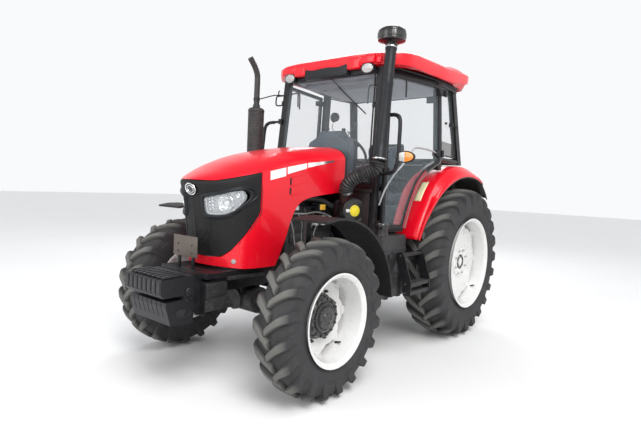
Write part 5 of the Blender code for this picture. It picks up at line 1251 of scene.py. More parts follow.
def fender_piece(name, s, a0, a1, mat, grow=0.0, flange_only=False, replaces=(), sag=0.0):
    bm = bmesh.new()
    rows = []
    n = max(6, int((a1 - a0) / 2.2))
    for i in range(n + 1):
        a = a0 + (a1 - a0) * i / n
        fy, fr, ly, lr = (spline(c, a) for c in cols)
        t = (a - a0) / (a1 - a0)
        fr, lr = fr - sag * t ** 1.5, lr - sag * (0.25 * min(1.0, t * 3) + 0.75 * t ** 1.3)
        c_, s_ = math.cos(math.radians(a)), math.sin(math.radians(a))
        base = [(0.62, 0.552), (0.72, 0.556), (fr - 0.045, 0.560), (fr - 0.014, 0.564), (fr - 0.002, 0.578), (fr, 0.600), (fr + 0.001, (0.585 + fy) / 2), (fr + 0.0005, fy - 0.045), (fr - 0.003, fy - 0.016),
                (fr - 0.010, fy + 0.001), (fr - 0.022, fy + 0.010), (lr * 0.45 + fr * 0.55 - 0.006, (fy + ly) / 2 + 0.006), (lr + 0.008, ly - 0.004), (lr - 0.004, ly), (lr - 0.010, ly - 0.003)]
        if flange_only:
            base = base[6:]
        rows.append([bm.verts.new(W((r + grow) * c_, s * y, 0.772 + (r + grow) * s_)) for r, y in base])
    for a, b in zip(rows, rows[1:]):
        for i in range(len(a) - 1):
            bm.faces.new((a[i], a[i + 1], b[i + 1], b[i]))
    ob = put(bm, name, mat, "chassis", 50, replaces)
    m = ob.modifiers.new("thick", "SOLIDIFY")
    m.thickness, m.offset, m.use_even_offset = 0.006, 0.0, True
    return ob


for s, lab in ((1, "left"), (-1, "right")):
    fender_piece("rear_fender_" + lab + "_skin", s, 18, 113, RED, replaces=["rear_fender_" + lab])
    fender_piece("fender_extension_" + lab, s, 108, 127, surface("fender_rubber_" + lab, (0.022, 0.017, 0.015), 0.45, vary=0.15, dust=0.12, grain=0.15), 0.004, False, sag=0.085)
    # bright edge bead, seam and blank sticker
    k = Kit()
    pts = []
    for i in range(30):
        a = 18 + 94 * i / 29
        ly, lr = spline(cols[2], a), spline(cols[3], a)
        pts.append(W((lr - 0.008) * math.cos(math.radians(a)), s * (ly - 0.002), 0.772 + (lr - 0.008) * math.sin(math.radians(a))))
    k.tube(pts, 0.0055, n=8, per=2, world=True)
    k.done("fender_bead_" + lab, RED, "chassis", "red_paint", 50)
    bm = bmesh.new()
    rws = []
    for i in range(9):
        a = 43.0 + 14.5 * i / 8
        fy, fr = spline(cols[0], a), spline(cols[1], a)
        rws.append([bm.verts.new(W((fr + 0.0045) * math.cos(math.radians(a)), s * (0.668 + 0.075 * j / 3), 0.772 + (fr + 0.0045) * math.sin(math.radians(a)))) for j in range(4)])
    for a, b in zip(rws, rws[1:]):
        for j in range(3):
            bm.faces.new((a[j], a[j + 1], b[j + 1], b[j]))
    ob = put(bm, "fender_sticker_" + lab, CREAM, "chassis", 50)
    m = ob.modifiers.new("thick", "SOLIDIFY")
    m.thickness, m.offset = 0.0012, 0.0
    k = Kit()
    for a, y in ((58, 0.73), (72, 0.72), (84, 0.73)):
        fr = spline(cols[1], a)
        k.bolt(W((fr + 0.003) * math.cos(math.radians(a)), s * y, 0.772 + (fr + 0.003) * math.sin(math.radians(a))), (math.cos(math.radians(a)), 0, math.sin(math.radians(a))), 0.008, 0.006, world=True)
    # rear lamp cluster on the fender's back
    k.done("fender_bolts_" + lab, ZINC, "chassis", None, 40)
    k = Kit()
    k.box((-0.70, s * 0.70, 1.300), (-0.655, s * 0.86, 1.385), 0.010)
    k.box((-0.66, s * 0.74, 1.32), (-0.60, s * 0.82, 1.37), 0.006)
    k.done("rear_lamp_housing_" + lab, PLASTIC, "chassis", None, 40)
    k = Kit()
    k.box((-0.708, s * 0.710, 1.310), (-0.699, s * 0.775, 1.376), 0.004)
    k.done("rear_lamp_red_" + lab, surface("red_lens_" + lab, (0.45, 0.01, 0.01), 0.14, coat=1.0, vary=0.1, scale=50), "chassis", None, 40)
    k = Kit()
    k.box((-0.708, s * 0.785, 1.310), (-0.699, s * 0.852, 1.376), 0.004)
    k.done("rear_lamp_amber_" + lab, AMBER, "chassis", None, 40)

# ------------------------------------------------------------------ tank, battery box
def hull_box(s, rear, front, y0, y1, z0, z1, k):
    outline = [(rear, z0 + 0.05), (rear + 0.012, z0 + 0.016), (rear + 0.045, z0), (front - 0.045, z0), (front - 0.012, z0 + 0.016), (front, z0 + 0.05), (front, z1 - 0.03), (front - 0.010, z1 - 0.009), (front - 0.032, z1), (rear + 0.03, z1), (rear + 0.008, z1 - 0.010), (rear, z1 - 0.035)]
    k.sideplate(outline, s * y0, s * y1, 0.016, 4)


k = Kit()
hull_box(1, 0.99, 1.42, 0.36, 0.796, 0.55, 1.00, k)
hull_box(1, 0.998, 1.412, 0.668, 0.792, 0.90, 1.105, k)
k.lathe((1.335, 0.735, 1.095), (1.335, 0.735, 2.0), [(0, 0), (0, 0.062), (0.018, 0.056), (0.06, 0.052), (0.075, 0.052), (0.075, 0)], 36)
for z0, z1 in ((0.897, 0.927), (0.760, 0.790), (0.690, 0.705)):
    k.sideplate([(1.0, z0), (1.41, z0), (1.41, z1), (1.0, z1)], 0.786, 0.7995, 0.006, 3)
    k.box((1.405, 0.40, z0), (1.4195, 0.79, z1), 0.005, seg=3)
for z0, z1 in ((0.935, 0.975), (0.800, 0.845)):
    for x in (1.02, 1.13, 1.24, 1.35):
        k.box((x, 0.787, z0), (x + 0.012, 0.7990, z1), 0.003)
    k.box((1.02, 0.787, z1 - 0.004), (1.362, 0.7990, z1 + 0.006), 0.003)
k.box((1.05, 0.19, 0.66), (1.30, 0.37, 0.72), 0.01)
k.done("fuel_tank_shell", TANK, "chassis", "black_plastic", 38, ["fuel_tank"])
k = Kit()
k.lathe((1.335, 0.735, 1.162), (1.335, 0.735, 2.0), [(0, 0), (0, 0.055), (0.006, 0.0575), (0.036, 0.0575), (0.044, 0.053), (0.0485, 0.038), (0.0485, 0)], 36)
for i in range(18):
    a = 2 * math.pi * i / 18
    p = W(1.335 + 0.0570 * math.cos(a), 0.735 + 0.0570 * math.sin(a), 1.184)
    k.box(p - Vector((0.003, 0.003, 0.014)), p + Vector((0.003, 0.003, 0.014)), 0.001, world=True)
k.done("tank_cap", GLOSS, "chassis", "black_plastic", 38)
k = Kit()
for x in (1.10, 1.31):
    k.tube([(x, 0.37, 0.544), (x, 0.60, 0.543), (x, 0.790, 0.548), (x, 0.806, 0.60), (x, 0.806, 0.80), (x, 0.806, 0.94)], 0.006, n=8, per=3)
k.tube([(1.02, 0.40, 1.006), (1.20, 0.50, 1.008), (1.40, 0.60, 1.006)], 0.007, n=8)
k.box((0.97, 0.50, 0.575), (0.992, 0.56, 0.70), 0.004)
k.done("tank_straps", BLACK, "chassis", "black_paint", 40)
k = Kit()
hull_box(-1, 0.99, 1.38, 0.36, 0.757, 0.62, 0.955, k)
k.box((1.00, -0.765, 0.70), (1.37, -0.752, 0.72), 0.004).box((1.00, -0.765, 0.84), (1.37, -0.752, 0.86), 0.004)
k.box((1.04, -0.37, 0.66), (1.30, -0.19, 0.72), 0.01)
k.box((1.02, -0.745, 0.953), (1.35, -0.38, 0.963), 0.006)
k.box((1.16, -0.768, 0.74), (1.21, -0.757, 0.80), 0.004)
k.done("battery_case", TANK, "chassis", "black_plastic", 38, ["battery_box"])

# ------------------------------------------------------------------ steps: grip slats and bolts over the CAD ladders
k = Kit()
for z in (0.686, 0.612, 0.932):
    y0, y1 = (0.864, 0.948) if z < 0.9 else (0.806, 0.868)
    for i in range(17):
        x = 0.835 + i * 0.0205
        k.box((x, y0, z), (x + 0.006, y1, z + 0.006), 0.0015)
for x in (0.815, 1.175):
    for z in (0.60, 0.68, 0.925):
        k.bolt(W(x + (0.0 if x > 1 else 0.0), 0.90 if z < 0.9 else 0.84, z), (1 if x > 1 else -1, 0, 0), 0.007, 0.006, world=True)
k.both()
k.done("step_grips", surface("worn_steel", (0.060, 0.058, 0.055), 0.50, vary=0.3, scale=18, dust=0.3, grain=0.2), "chassis", "black_paint", 40)

# ------------------------------------------------------------------ hoops' lamps, sleeves, a bracket, grab rods, hinges and handles
for s, lab in ((1, "left"), (-1, "right")):
    c = W(1.300, s * 0.902, 1.785)
    u, v, n = Vector((0, 1, 0)), Vector((0, 0, 1)), Vector((1, 0, 0))
    ov = [(0.088 * math.cos(2 * math.pi * i / 44), 0.047 * math.sin(2 * math.pi * i / 44)) for i in range(44)]
    k = Kit()
    k.prism(ov, c - n * 0.012, u, v, 0.030, 0.006, 3)
    k.box((1.262, s * 0.822, 1.765), (1.282, s * 0.862, 1.805), 0.004)
    k.tube([c + u * a * 1.0 + v * b * 1.0 + n * 0.002 for a, b in ov], 0.0045, n=8, per=1, world=True, closed=True)
    k.done("turn_lamp_housing_" + lab, PLASTIC, "chassis", "black_plastic", 40)
    for part, mat, sgn in (("clear", CLEARHALF, -1), ("amber", AMBER, 1)):
        pts = [(a * 0.93, b * 0.90) for a, b in ov if a * sgn * s >= -0.004]
        pts.sort(key=lambda q: math.atan2(q[1], q[0] * sgn * s) )
        pts = [(a, b) for a, b in pts]
        k = Kit()
        k.prism(pts, c + n * 0.004, u, v, 0.010, 0.0025)
        for i in range(4):
            y = sgn * s * (0.012 + i * 0.016)
            hgt = 0.034 - i * 0.005
            k.box(c + u * (y - 0.002) - v * hgt + n * 0.008, c + u * (y + 0.002) + v * hgt + n * 0.0105, 0.0008, world=True)
        k.done("turn_lamp_" + part + "_" + lab, mat, "chassis", None, 40)
    # thicker sleeve over the hoop's upright
    k = Kit()
    k.tube([(1.266, s * 0.700, 2.152), (1.268, s * 0.780, 2.145), (1.276, s * 0.822, 2.100), (1.288, s * 0.832, 1.930), (1.300, s * 0.835, 1.750), (1.305, s * 0.800, 1.660), (1.305, s * 0.700, 1.636)], 0.0170, n=16, per=6)
    k.rod((1.276, s * 0.600, 2.128), (1.276, s * 0.600, 2.178), 0.024, n=20)
    k.rod((1.290, s * 0.610, 1.600), (1.290, s * 0.610, 1.650), 0.024, n=20)
    k.done("hoop_sleeve_" + lab, BLACK, "chassis", "black_paint", 40)

k = Kit()                                                # right-hand bracket high on the post
k.tube([(1.225, -0.575, 2.43), (1.24, -0.66, 2.425), (1.25, -0.69, 2.42), (1.252, -0.700, 2.38), (1.252, -0.690, 2.33), (1.245, -0.62, 2.325)], 0.0075, n=10, per=4)
k.tube([(1.25, -0.665, 2.425), (1.25, -0.668, 2.465), (1.25, -0.655, 2.478)], 0.0065, n=10)
k.rod((1.25, -0.60, 2.32), (1.25, -0.60, 2.365), 0.014, n=16)
k.done("right_bracket", BLACK, "chassis", "black_paint", 40)
for s, lab in ((1, "left"), (-1, "right")):
    k = Kit()
    k.tube([(1.268, s * 0.648, 1.36), (1.250, s * 0.690, 1.50), (1.190, s * 0.735, 1.63), (1.110, s * 0.775, 1.73), (0.985, s * 0.800, 1.868), (0.940, s * 0.806, 1.892), (0.800, s * 0.808, 1.897), (0.640, s * 0.812, 1.890), (0.560, s * 0.800, 1.885), (0.470, s * 0.776, 1.880)], 0.0085, n=12, per=5)
    k.done("door_rail_" + lab, LIGHTGREY, "door_" + lab, None, 40)
    k = Kit()
    for z in (1.880, 2.475):
        k.box((0.400, s * 0.742, z - 0.028), (0.500, s * 0.800, z + 0.028), 0.010, seg=3)
        k.rod((0.395, s * 0.806, z - 0.034), (0.395, s * 0.806, z + 0.034), 0.015, n=20)
    k.done("door_hinges_" + lab, BLACK, "door_" + lab, "black_paint", 40)
    k = Kit()
    k.box((1.165, s * 0.630, 1.62), (1.215, s * 0.665, 1.74), 0.010, seg=3)
    k.box((1.175, s * 0.655, 1.65), (1.205, s * 0.685, 1.70), 0.006)
    k.done("door_handle_" + lab, PLASTIC, "door_" + lab, "black_plastic", 40)

# ------------------------------------------------------------------ seat: stuffed fabric pads
def pad(name, outline, y0, y1, node, cap):
    """Closed pad cut from a side outline (x, z), puffed with cloth pressure, then sewn."""
    k = Kit()
    k.sideplate(outline, y0, y1, 0.030, 4)
    ob = k.done(name, FABRIC, "chassis", "seat_fabric", 60, [node])
    r = ob.modifiers.new("voxels", "REMESH")
    r.mode, r.voxel_size = "VOXEL", 0.0065
    dg = bpy.context.evaluated_depsgraph_get()
    new = bpy.data.meshes.new_from_object(ob.evaluated_get(dg))
    ob.modifiers.clear()
    ob.data = new
    ob.data.materials.clear()
    ob.data.materials.append(FABRIC)
    start = [v.co.copy() for v in ob.data.vertices]
    c = ob.modifiers.new("cloth", "CLOTH")
    c.settings.quality = 5
    c.settings.mass = 0.3
    c.settings.use_pressure = True
    c.settings.uniform_pressure_force = 4.0
    c.settings.tension_stiffness = c.settings.compression_stiffness = 18
    c.settings.shear_stiffness = 8
    c.settings.bending_stiffness = 1.2
    c.settings.effector_weights.gravity = 0.0
    c.collision_settings.use_collision = False
    c.collision_settings.use_self_collision = False
    c.point_cache.frame_start, c.point_cache.frame_end = 1, 20
    sc = bpy.context.scene
    for f in range(1, 21):
        sc.frame_set(f)
    dg = bpy.context.evaluated_depsgraph_get()
    ev = ob.evaluated_get(dg)
    puffed = [v.co.copy() for v in ev.data.vertices]
    ob.modifiers.clear()
    for v, a, b in zip(ob.data.vertices, start, puffed):
        d = b - a
        v.co = a + (d if d.length <= cap else d * (cap / d.length))
    sc.frame_set(1)
    return ob, start


def sew(ob, start, where, depth, width):
    """Pull the surface in along channels; where(p) gives the distance to the nearest seam."""
    for v, s in zip(ob.data.vertices, start):
        d = where(v.co)
        if d is not None and d < width:
            v.co += -v.normal * depth * (math.cos(math.pi * d / width) * 0.5 + 0.5)


def seal_pad(ob):
    ob.data.shade_smooth()
    m = ob.modifiers.new("subdivision", "SUBSURF")
    m.levels = m.render_levels = 1


cushion, st = pad("seat_cushion_pad", [(0.215, 1.372), (0.648, 1.372), (0.652, 1.440), (0.610, 1.458), (0.230, 1.450)], -0.226, 0.226, "seat_cushion", 0.024)
sew(cushion, st, lambda p: None if p.z < 1.40 else min(abs(p.y - 0.145), abs(p.y + 0.145), abs(p.x - XA - 0.34) if abs(p.y) < 0.145 else 9, abs(p.x - XA - 0.49) if abs(p.y) < 0.145 else 9), 0.007, 0.014)
seal_pad(cushion)
back, st = pad("seat_back_pad", [(0.168, 1.505), (0.262, 1.505), (0.250, 1.93), (0.236, 1.985), (0.212, 1.998), (0.170, 1.995)], -0.208, 0.208, "seat_back", 0.022)
sew(back, st, lambda p: min(abs(p.y - 0.135), abs(p.y + 0.135), *([abs(p.z - z) for z in (1.64, 1.77, 1.90)] if abs(p.y) < 0.135 else [9])), 0.007, 0.014)
seal_pad(back)
k = Kit()
k.sideplate([(0.112, 1.49), (0.150, 1.47), (0.160, 1.99), (0.148, 2.02), (0.120, 1.98)], -0.215, 0.215, 0.016, 3)
k.sideplate([(0.17, 1.346), (0.66, 1.346), (0.672, 1.372), (0.655, 1.380), (0.175, 1.375)], -0.235, 0.235, 0.010, 3)
for s in (1, -1):
    k.tube([(0.150, s * 0.235, 1.40), (0.150, s * 0.270, 1.44), (0.155, s * 0.280, 1.60)], 0.014, n=12)
    k.tube([(0.13, s * 0.28, 1.605), (0.30, s * 0.282, 1.615), (0.46, s * 0.275, 1.612)], 0.026, n=16)
k.done("seat_shell_and_arms", PLASTIC, "chassis", None, 40)
k = Kit()
for i in range(9):
    z = 1.165 + i * 0.018
    k.tube([(0.45 + 0.150 * math.cos(a), 0.150 * math.sin(a), z) for a in [2 * math.pi * j / 32 for j in range(32)]], 0.010, n=8, per=1, closed=True)
k.done("seat_bellows", RUBBER, "chassis", None, 40)

# ------------------------------------------------------------------ steering wheel, dash, levers
wc, wn_ = W(0.865, 0, 1.86), Vector((-0.766, 0, 0.643)).normalized()
we = Vector((0, 1, 0))
wf = wn_.cross(we)
k = Kit()
ringp = [wc + (we * math.cos(2 * math.pi * i / 56) + wf * math.sin(2 * math.pi * i / 56)) * 0.190 for i in range(56)]
k.tube(ringp, 0.0140, n=16, per=1, world=True, closed=True)
k.lathe(wc - wn_ * 0.030, wc + wn_, [(0, 0), (0, 0.030), (0.012, 0.042), (0.026, 0.050), (0.040, 0.049), (0.048, 0.040), (0.050, 0)], 40, world=True)
for j in range(3):
    a = math.radians(90 + 120 * j)
    e = we * math.cos(a) + wf * math.sin(a)
    side = e.cross(wn_)
    p0, p1 = wc - wn_ * 0.006 + e * 0.035, wc + e * 0.184
    k.tube([p0, (p0 + p1) / 2 - wn_ * 0.005, p1], 0.0095, n=12, per=5, world=True)
    k.tube([p0 + side * 0.014, (p0 + p1) / 2 + side * 0.011 - wn_ * 0.005, p1 + side * 0.004], 0.0060, n=10, per=5, world=True)
k.done("steering_wheel_rim", GLOSS, "steering_wheel", "black_plastic", 40, ["steering_wheel"])
dress(["dashboard"], SLATE, 0.012, 3)
k = Kit()
k.tube([(1.06, 0.06, 1.90), (1.02, 0.068, 1.99), (0.96, 0.078, 2.07), (0.90, 0.085, 2.140)], 0.0055, n=10)
k.lathe((0.900, 0.085, 2.135), (0.892, 0.0855, 2.147), [(0, 0.0), (0.0, 0.010), (0.006, 0.017), (0.014, 0.0195), (0.023, 0.017), (0.030, 0.009), (0.032, 0)], 20)
k.tube([(1.05, -0.10, 1.82), (0.98, -0.17, 1.86), (0.93, -0.20, 1.88)], 0.0050, n=8)
k.lathe((0.935, -0.198, 1.878), (0.91, -0.21, 1.890), [(0, 0), (0, 0.009), (0.02, 0.011), (0.034, 0.009), (0.036, 0)], 14)
for y, x, h, lean in ((-0.33, 0.62, 1.62, 0.05), (-0.36, 0.52, 1.60, 0.03), (-0.33, 0.44, 1.56, 0.0), (0.34, 0.60, 1.55, 0.04)):
    k.tube([(x, y, 1.20), (x + lean * 0.4, y, 1.38), (x + lean, y, h)], 0.0075, n=10)
    k.lathe((x + lean, y, h - 0.008), (x + lean, y, h + 1), [(0, 0), (0, 0.011), (0.012, 0.019), (0.030, 0.0205), (0.046, 0.014), (0.050, 0)], 18)
k.done("cab_levers", GLOSS, "chassis", None, 40)
k = Kit()
for s in (1, -1):
    k.box((0.22, s * 0.31, 1.18), (0.70, s * 0.50, 1.34), 0.020, seg=3)
    k.box((0.05, s * 0.40, 1.34), (0.60, s * 0.51, 1.47), 0.020, seg=3)
k.done("side_consoles", SLATE, "chassis", None, 40)
k = Kit()
k.box((0.82, -0.46, 1.1755), (1.22, 0.46, 1.186), 0.004)
for i in range(11):
    k.box((0.84, -0.44 + i * 0.084, 1.184), (1.20, -0.40 + i * 0.084, 1.190), 0.002)
k.done("floor_mat", RUBBER, "chassis", None, 40)
k = Kit()
for y, x in ((0.20, 1.02), (-0.20, 1.02), (-0.30, 1.00)):
    k.tube([(1.18, y, 1.50), (1.12, y, 1.36), (x, y, 1.28)], 0.009, n=10)
    k.box((x - 0.03, y - 0.035, 1.255), (x + 0.015, y + 0.035, 1.280), 0.006)
k.done("pedals", CAST, "chassis", None, 40)
k = Kit()                                               # instrument binnacle hood
k.sideplate([(1.03, 1.965), (1.05, 1.99), (1.10, 2.045), (1.20, 2.045), (1.225, 2.00), (1.225, 1.955)], -0.13, 0.13, 0.016, 3)
k.done("binnacle", SLATE, "chassis", None, 40)

# fan, wiper, grab bars, lamp at the back
k = Kit()
fc = W(0.36, -0.600, 2.32)
k.lathe(fc, fc + Vector((0.8, 0.55, -0.1)), [(0, 0), (0, 0.022), (0.016, 0.036), (0.045, 0.052), (0.062, 0.054), (0.066, 0.050), (0.060, 0.030), (0.060, 0)], 28, world=True)
k.tube([(0.36, -0.66, 2.30), (0.35, -0.63, 2.27), (0.36, -0.60, 2.29)], 0.008, n=10)
k.tube([(0.42, -0.57, 2.28), (0.47, -0.55, 2.19), (0.44, -0.54, 2.12)], 0.0035, n=8)
k.done("cab_fan", GLOSS, "chassis", None, 40)
k = Kit()
for s in (1, -1):
    k.tube([(1.085, s * 0.600, 2.515), (0.96, s * 0.655, 2.520), (0.945, s * 0.672, 2.490), (0.940, s * 0.672, 2.36)], 0.008, n=12, per=4)
    k.tube([(1.205, s * 0.52, 2.44), (1.195, s * 0.45, 2.445), (1.19, s * 0.425, 2.42), (1.19, s * 0.42, 2.28)], 0.0075, n=12, per=4)
k.done("cab_grab_bars", SEAL, "chassis", None, 40)
pane = lambda z: 1.322 - (z - 1.552) / 1.004 * 0.086
k = Kit()
p0, p1 = W(pane(2.575) + 0.022, -0.016, 2.575), W(pane(2.19) + 0.016, 0.464, 2.179)
mid_ = (p0 + p1) / 2 + Vector((0.010, 0, 0))
k.tube([p0, mid_, p1], 0.0042, n=8, world=True)
k.lathe(p0 - Vector((0.03, 0, 0)), p0 + Vector((1, 0, 0)), [(0, 0), (0, 0.016), (0.028, 0.016), (0.034, 0.010), (0.036, 0)], 20, world=True)
q0, q1 = p0.lerp(p1, 0.30), p1
k.tube([q0 - Vector((0.006, 0, 0.012)), q0.lerp(q1, 0.5) - Vector((0.004, 0, 0.010)), q1 - Vector((0.008, 0, 0.006))], 0.0050, n=8, world=True)
k.done("wiper", SEAL, "chassis", None, 40)

# seals round the fixed panes
k = Kit()
for corners in ([(1.326, 0.560, 1.558), (1.326, -0.560, 1.558), (1.240, -0.522, 2.550), (1.240, 0.522, 2.550)],
                [(-0.193, 0.650, 1.866), (-0.193, -0.650, 1.866), (-0.071, -0.606, 2.552), (-0.071, 0.606, 2.552)]):
    pts = []
    for i in range(4):
        a, b = W(*corners[i]), W(*corners[(i + 1) % 4])
        pts += [a.lerp(b, t) for t in (0.04, 0.5, 0.96)]
    k.tube(pts, 0.0075, n=8, per=4, world=True, closed=True)
for s in (1, -1):
    cs = [(0.322, s * 0.758, 1.875), (-0.134, s * 0.701, 1.875), (-0.014, s * 0.661, 2.548), (0.336, s * 0.720, 2.548)]
    pts = []
    for i in range(4):
        a, b = W(*cs[i]), W(*cs[(i + 1) % 4])
        pts += [a.lerp(b, t) for t in (0.05, 0.5, 0.95)]
    k.tube(pts, 0.0065, n=8, per=4, world=True, closed=True)
k.done("window_seals", SEAL, "chassis", None, 40)
k = Kit()
for s in (1, -1):                                       # tinted lower strip behind the quarter window
    a, b, c_, d_ = W(0.318, s * 0.742, 1.882), W(-0.128, s * 0.688, 1.882), W(-0.108, s * 0.684, 2.02), W(0.322, s * 0.738, 2.02)
    n_ = (b - a).cross(d_ - a).normalized() * 0.002
    vs = [k.bm.verts.new(p + q) for q in (-n_, n_) for p in (a, b, c_, d_)]
    for f in ((0, 1, 2, 3), (4, 7, 6, 5), (0, 4, 5, 1), (1, 5, 6, 2), (2, 6, 7, 3), (3, 7, 4, 0)):
        k.bm.faces.new([vs[i] for i in f])
k.done("quarter_tint", glass("brown_tint", (0.05, 0.040, 0.034), 0.90), "chassis", None, 40)
k = Kit()
for s in (1, -1):                                       # handles and catches of the quarter windows
    k.box((0.02, s * 0.69, 2.19), (0.05, s * 0.735, 2.235), 0.006)
    k.rod((0.27, s * 0.755, 2.20), (0.27, s * 0.775, 2.20), 0.012, n=16)
    k.rod((-0.075, s * 0.715, 2.20), (-0.075, s * 0.732, 2.20), 0.010, n=16)
k.done("window_catches", SEAL, "chassis", None, 40)
# ------------------------------------------------------------------ red edge along the door's curved foot, with its seal; this red is painted darker, as shade behind the glass
def side_y(x, z, out):
    return 0.565 - 0.1734 * (x - 1.20) - 0.046 * (z - 2.60) + out


FOOT = [(0.425, 1.830), (0.445, 1.785), (0.528, 1.744), (0.643, 1.679), (0.762, 1.571), (0.838, 1.442), (0.894, 1.328), (0.945, 1.200), (0.962, 1.152)]
EDGE = surface("grey_seal", (0.16, 0.16, 0.16), 0.45, vary=0.1, scale=20)
# darker copy of the red paint: the shade behind the door glass is painted into its colour
SHADED_RED = surface("red_painted_shade_behind_glass", (0.30, 0.004, 0.012), 0.30, coat=0.6, vary=0.1, scale=4, grain=0.03)


def foot_strip(k, s, inner, outer, out, t):
    pts = smooth_path([Vector((x, 0, z)) for x, z in FOOT[3:]], 4)
    rows = []
    for i, p in enumerate(pts):
        a, b = pts[max(i - 1, 0)], pts[min(i + 1, len(pts) - 1)]
        d = (b - a).normalized()
        n = Vector((-d.z, 0, d.x))                       # towards the pane
        if n.x < 0 and n.z < 0:
            n = -n
        row = []
        wide = outer * (0.25 + 0.75 * max(0.0, min(1.0, (1.70 - p.z) / 0.24))) if outer > 0.05 else outer
        for w, o in ((inner, out), (wide, out), (wide, out + t), (inner, out + t)):
            q = p + n * w
            row.append(k.bm.verts.new(W(q.x, s * side_y(q.x, q.z, o), q.z)))
        rows.append(row)
    for a, b in zip(rows, rows[1:]):
        for i in range(4):
            j = (i + 1) % 4
            k.bm.faces.new((a[i], a[j], b[j], b[i]))
    k.bm.faces.new(rows[0][::-1])
    k.bm.faces.new(rows[-1])


for s, lab in ((1, "left"), (-1, "right")):
    k = Kit()
    foot_strip(k, s, 0.003, 0.033, 0.0725, 0.0018)
    k.done("door_edge_band_" + lab, SHADED_RED, "door_" + lab, None, 40)
    k = Kit()
    foot_strip(k, s, -0.002, 0.118, 0.0335, 0.0030)
    k.done("inner_fender_panel_" + lab, SHADED_RED, "chassis", None, 40)
    k = Kit()
    pts = smooth_path([Vector((x, 0, z)) for x, z in FOOT], 4)
    k.tube([W(p.x + 0.001, s * side_y(p.x, p.z, 0.0745), p.z) for p in pts], 0.0042, n=8, per=1, world=True)
    k.done("door_edge_seal_" + lab, EDGE, "door_" + lab, None, 40)

# ------------------------------------------------------------------ dark underside of the fenders
for s, lab in ((1, "left"), (-1, "right")):
    fender_piece("fender_liner_" + lab, s, 19, 114, TANK, -0.012, False)

# ------------------------------------------------------------------ back of the tractor
k = Kit()
k.sideplate([(-0.40, 0.60), (-0.16, 0.56), (0.10, 0.60), (0.10, 1.06), (-0.30, 1.06), (-0.42, 0.95)], -0.17, 0.17, 0.03, 4)
k.rod((-0.43, 0, 0.62), (-0.385, 0, 0.62), 0.085, n=36)
for i in range(6):
    a = 2 * math.pi * i / 6
    k.bolt(W(-0.43, 0.066 * math.cos(a), 0.62 + 0.066 * math.sin(a)), (-1, 0, 0), 0.009, 0.008, world=True)
for y in (-0.12, 0.12):
    for z in (0.72, 0.86, 0.98):
        k.bolt(W(-0.405, y, z), (-1, 0, 0), 0.010, 0.009, world=True)
k.box((-0.40, -0.10, 1.02), (-0.18, 0.10, 1.14), 0.02, seg=3)
for y in (-0.06, 0.06):
    k.rod((-0.385, y, 1.08), (-0.425, y, 1.08), 0.016, n=18)
    k.rod((-0.425, y, 1.08), (-0.445, y, 1.08), 0.022, n=6)
k.done("rear_housing_cover", CAST, "chassis", "cast_black", 40)
k = Kit()
k.lathe((-0.43, 0, 0.62), (-1.0, 0, 0.62), [(0, 0), (0, 0.024), (0.075, 0.024), (0.080, 0.020), (0.080, 0)], 24)
for i in range(8):
    a = 2 * math.pi * i / 8
    p = W(-0.468, 0.0235 * math.cos(a), 0.62 + 0.0235 * math.sin(a))
    k.box(p - Vector((0.036, 0.003, 0.003)), p + Vector((0.036, 0.003, 0.003)), 0.0012, world=True)
k.done("pto_shaft", STEEL, "chassis", "steel", 40)
k = Kit()
k.box((-0.215, -0.16, 1.30), (-0.168, 0.16, 1.42), 0.01)
k.box((-0.185, -0.44, 2.50), (-0.155, -0.30, 2.57), 0.012, seg=3)
k.box((-0.185, 0.30, 2.50), (-0.155, 0.44, 2.57), 0.012, seg=3)
k.done("plate_holder", PLASTIC, "chassis", None, 40)
k = Kit()
k.box((-0.2185, -0.145, 1.312), (-0.2145, 0.145, 1.408), 0.001)
k.done("blank_rear_plate", surface("blank_plate", (0.55, 0.56, 0.57), 0.4, metal=0.3, vary=0.05), "chassis", None, 40)
k = Kit()
for y in (-0.37, 0.37):
    k.box((-0.1885, y - 0.055, 2.515), (-0.1835, y + 0.055, 2.558), 0.002)
k.done("rear_work_lamps", CHROME, "chassis", None, 40)

# ------------------------------------------------------------------ CAD nodes that stay as they are
dress(["cab_frame", "cab_floor"], BLACK, 0.006, 3)
dress(["left_door", "right_door"], BLACK, 0.004, 2)
dress(["windshield", "rear_window", "quarter_window_left", "quarter_window_right", "left_door_glass", "right_door_glass"], GLASS)
dress(["step_left", "step_right"], BLACK, 0.0035, 2)
dress(["seat_base"], PLASTIC, 0.008, 3)
dress(["front_fender_left", "front_fender_right"], surface("fender_plastic", (0.006, 0.006, 0.0065), 0.62, vary=0.15, dust=0.04, grain=0.12), 0.003, 2)
dress(["engine_block", "transmission_housing", "front_axle_beam"], CAST, 0.006, 3)
dress(["front_frame"], BLACK, 0.005, 2)
dress(["steering_knuckle_left", "steering_knuckle_right", "lift_arms", "lift_rod_left", "lift_rod_right", "lower_link_left", "lower_link_right", "top_link"], CAST, 0.003, 2)
dress(["steering_rod"], STEEL, 0.002, 2)

# ------------------------------------------------------------------ floor, light, camera
def floor():
    bm = bmesh.new()
    bmesh.ops.create_grid(bm, x_segments=2, y_segments=2, size=40)
    me = bpy.data.meshes.new("studio_floor")
    bm.to_mesh(me)
    bm.free()
    ob = bpy.data.objects.new("studio_floor", me)
    bpy.context.scene.collection.objects.link(ob)
    me.materials.append(surface("pale_floor", (0.86, 0.86, 0.86), 0.85, vary=0.01, scale=0.8, rough_vary=0.03))
    ob.location.z = -0.001


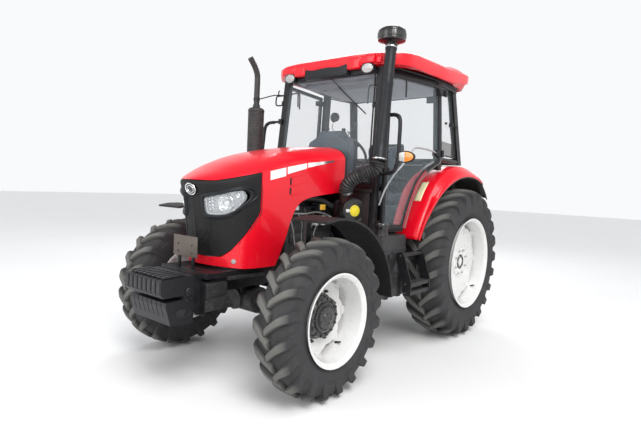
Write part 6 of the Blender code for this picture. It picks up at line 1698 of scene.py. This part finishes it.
floor()
world = bpy.data.worlds.new("studio")
bpy.context.scene.world = world
world.use_nodes = True
wn = world.node_tree
bg = wn.nodes["Background"]
bg.inputs["Strength"].default_value = 1.0
tcw = wn.nodes.new("ShaderNodeTexCoord")
sepw = wn.nodes.new("ShaderNodeSeparateXYZ")
ramp = wn.nodes.new("ShaderNodeValToRGB")
ramp.color_ramp.elements[0].position, ramp.color_ramp.elements[0].color = 0.42, (0.95, 0.955, 0.97, 1)
ramp.color_ramp.elements[1].position, ramp.color_ramp.elements[1].color = 0.72, (0.30, 0.31, 0.33, 1)
wn.links.new(tcw.outputs["Generated"], sepw.inputs[0])
wn.links.new(sepw.outputs["Z"], ramp.inputs[0])
wn.links.new(ramp.outputs[0], bg.inputs["Color"])
bpy.context.scene.view_settings.view_transform = "Standard"


def area(name, at, look, size, power, colour=(1, 1, 1)):
    l = bpy.data.lights.new(name, "AREA")
    l.shape, l.size, l.size_y = "RECTANGLE", size[0], size[1]
    l.energy, l.color = power, colour
    ob = bpy.data.objects.new(name, l)
    bpy.context.scene.collection.objects.link(ob)
    ob.location = at
    ob.rotation_euler = (Vector(look) - Vector(at)).to_track_quat("-Z", "Y").to_euler()


area("key", (4.5, 6.0, 6.5), (0, 0, 1.0), (4, 3), 420, (1, 0.985, 0.96))
area("front_fill", (8.0, -2.0, 4.0), (0.5, 0, 1.0), (4, 4), 150)
area("back", (-6.0, -4.0, 6.0), (0, 0, 1.2), (4, 4), 200)

sun = bpy.data.lights.new("overhead", "SUN")
sun.energy, sun.angle = 1.25, math.radians(32)
sob = bpy.data.objects.new("overhead", sun)
bpy.context.scene.collection.objects.link(sob)
sob.rotation_euler = (-Vector((2.2, 3.4, 8.0))).to_track_quat("-Z", "Y").to_euler()

psi, theta, rho, f = math.radians(219.27), math.radians(3.314), math.radians(2.571), 491.4
fw = Vector((math.cos(psi) * math.cos(theta), math.sin(psi) * math.cos(theta), -math.sin(theta)))
right = fw.cross(Vector((0, 0, 1))).normalized()
up = right.cross(fw)
r2 = math.cos(rho) * right + math.sin(rho) * up
u2 = -math.sin(rho) * right + math.cos(rho) * up
cam = bpy.data.objects.new("camera", bpy.data.cameras.new("camera"))
bpy.context.scene.collection.objects.link(cam)
cam.matrix_world = Matrix.Translation((3.967, 3.008, 1.5115)) @ Matrix((r2, u2, -fw)).transposed().to_4x4()
cam.data.sensor_fit, cam.data.sensor_width = "HORIZONTAL", 36.0
cam.data.lens = 36.0 * f / 641.0
cam.data.clip_end = 200.0
bpy.context.scene.camera = cam
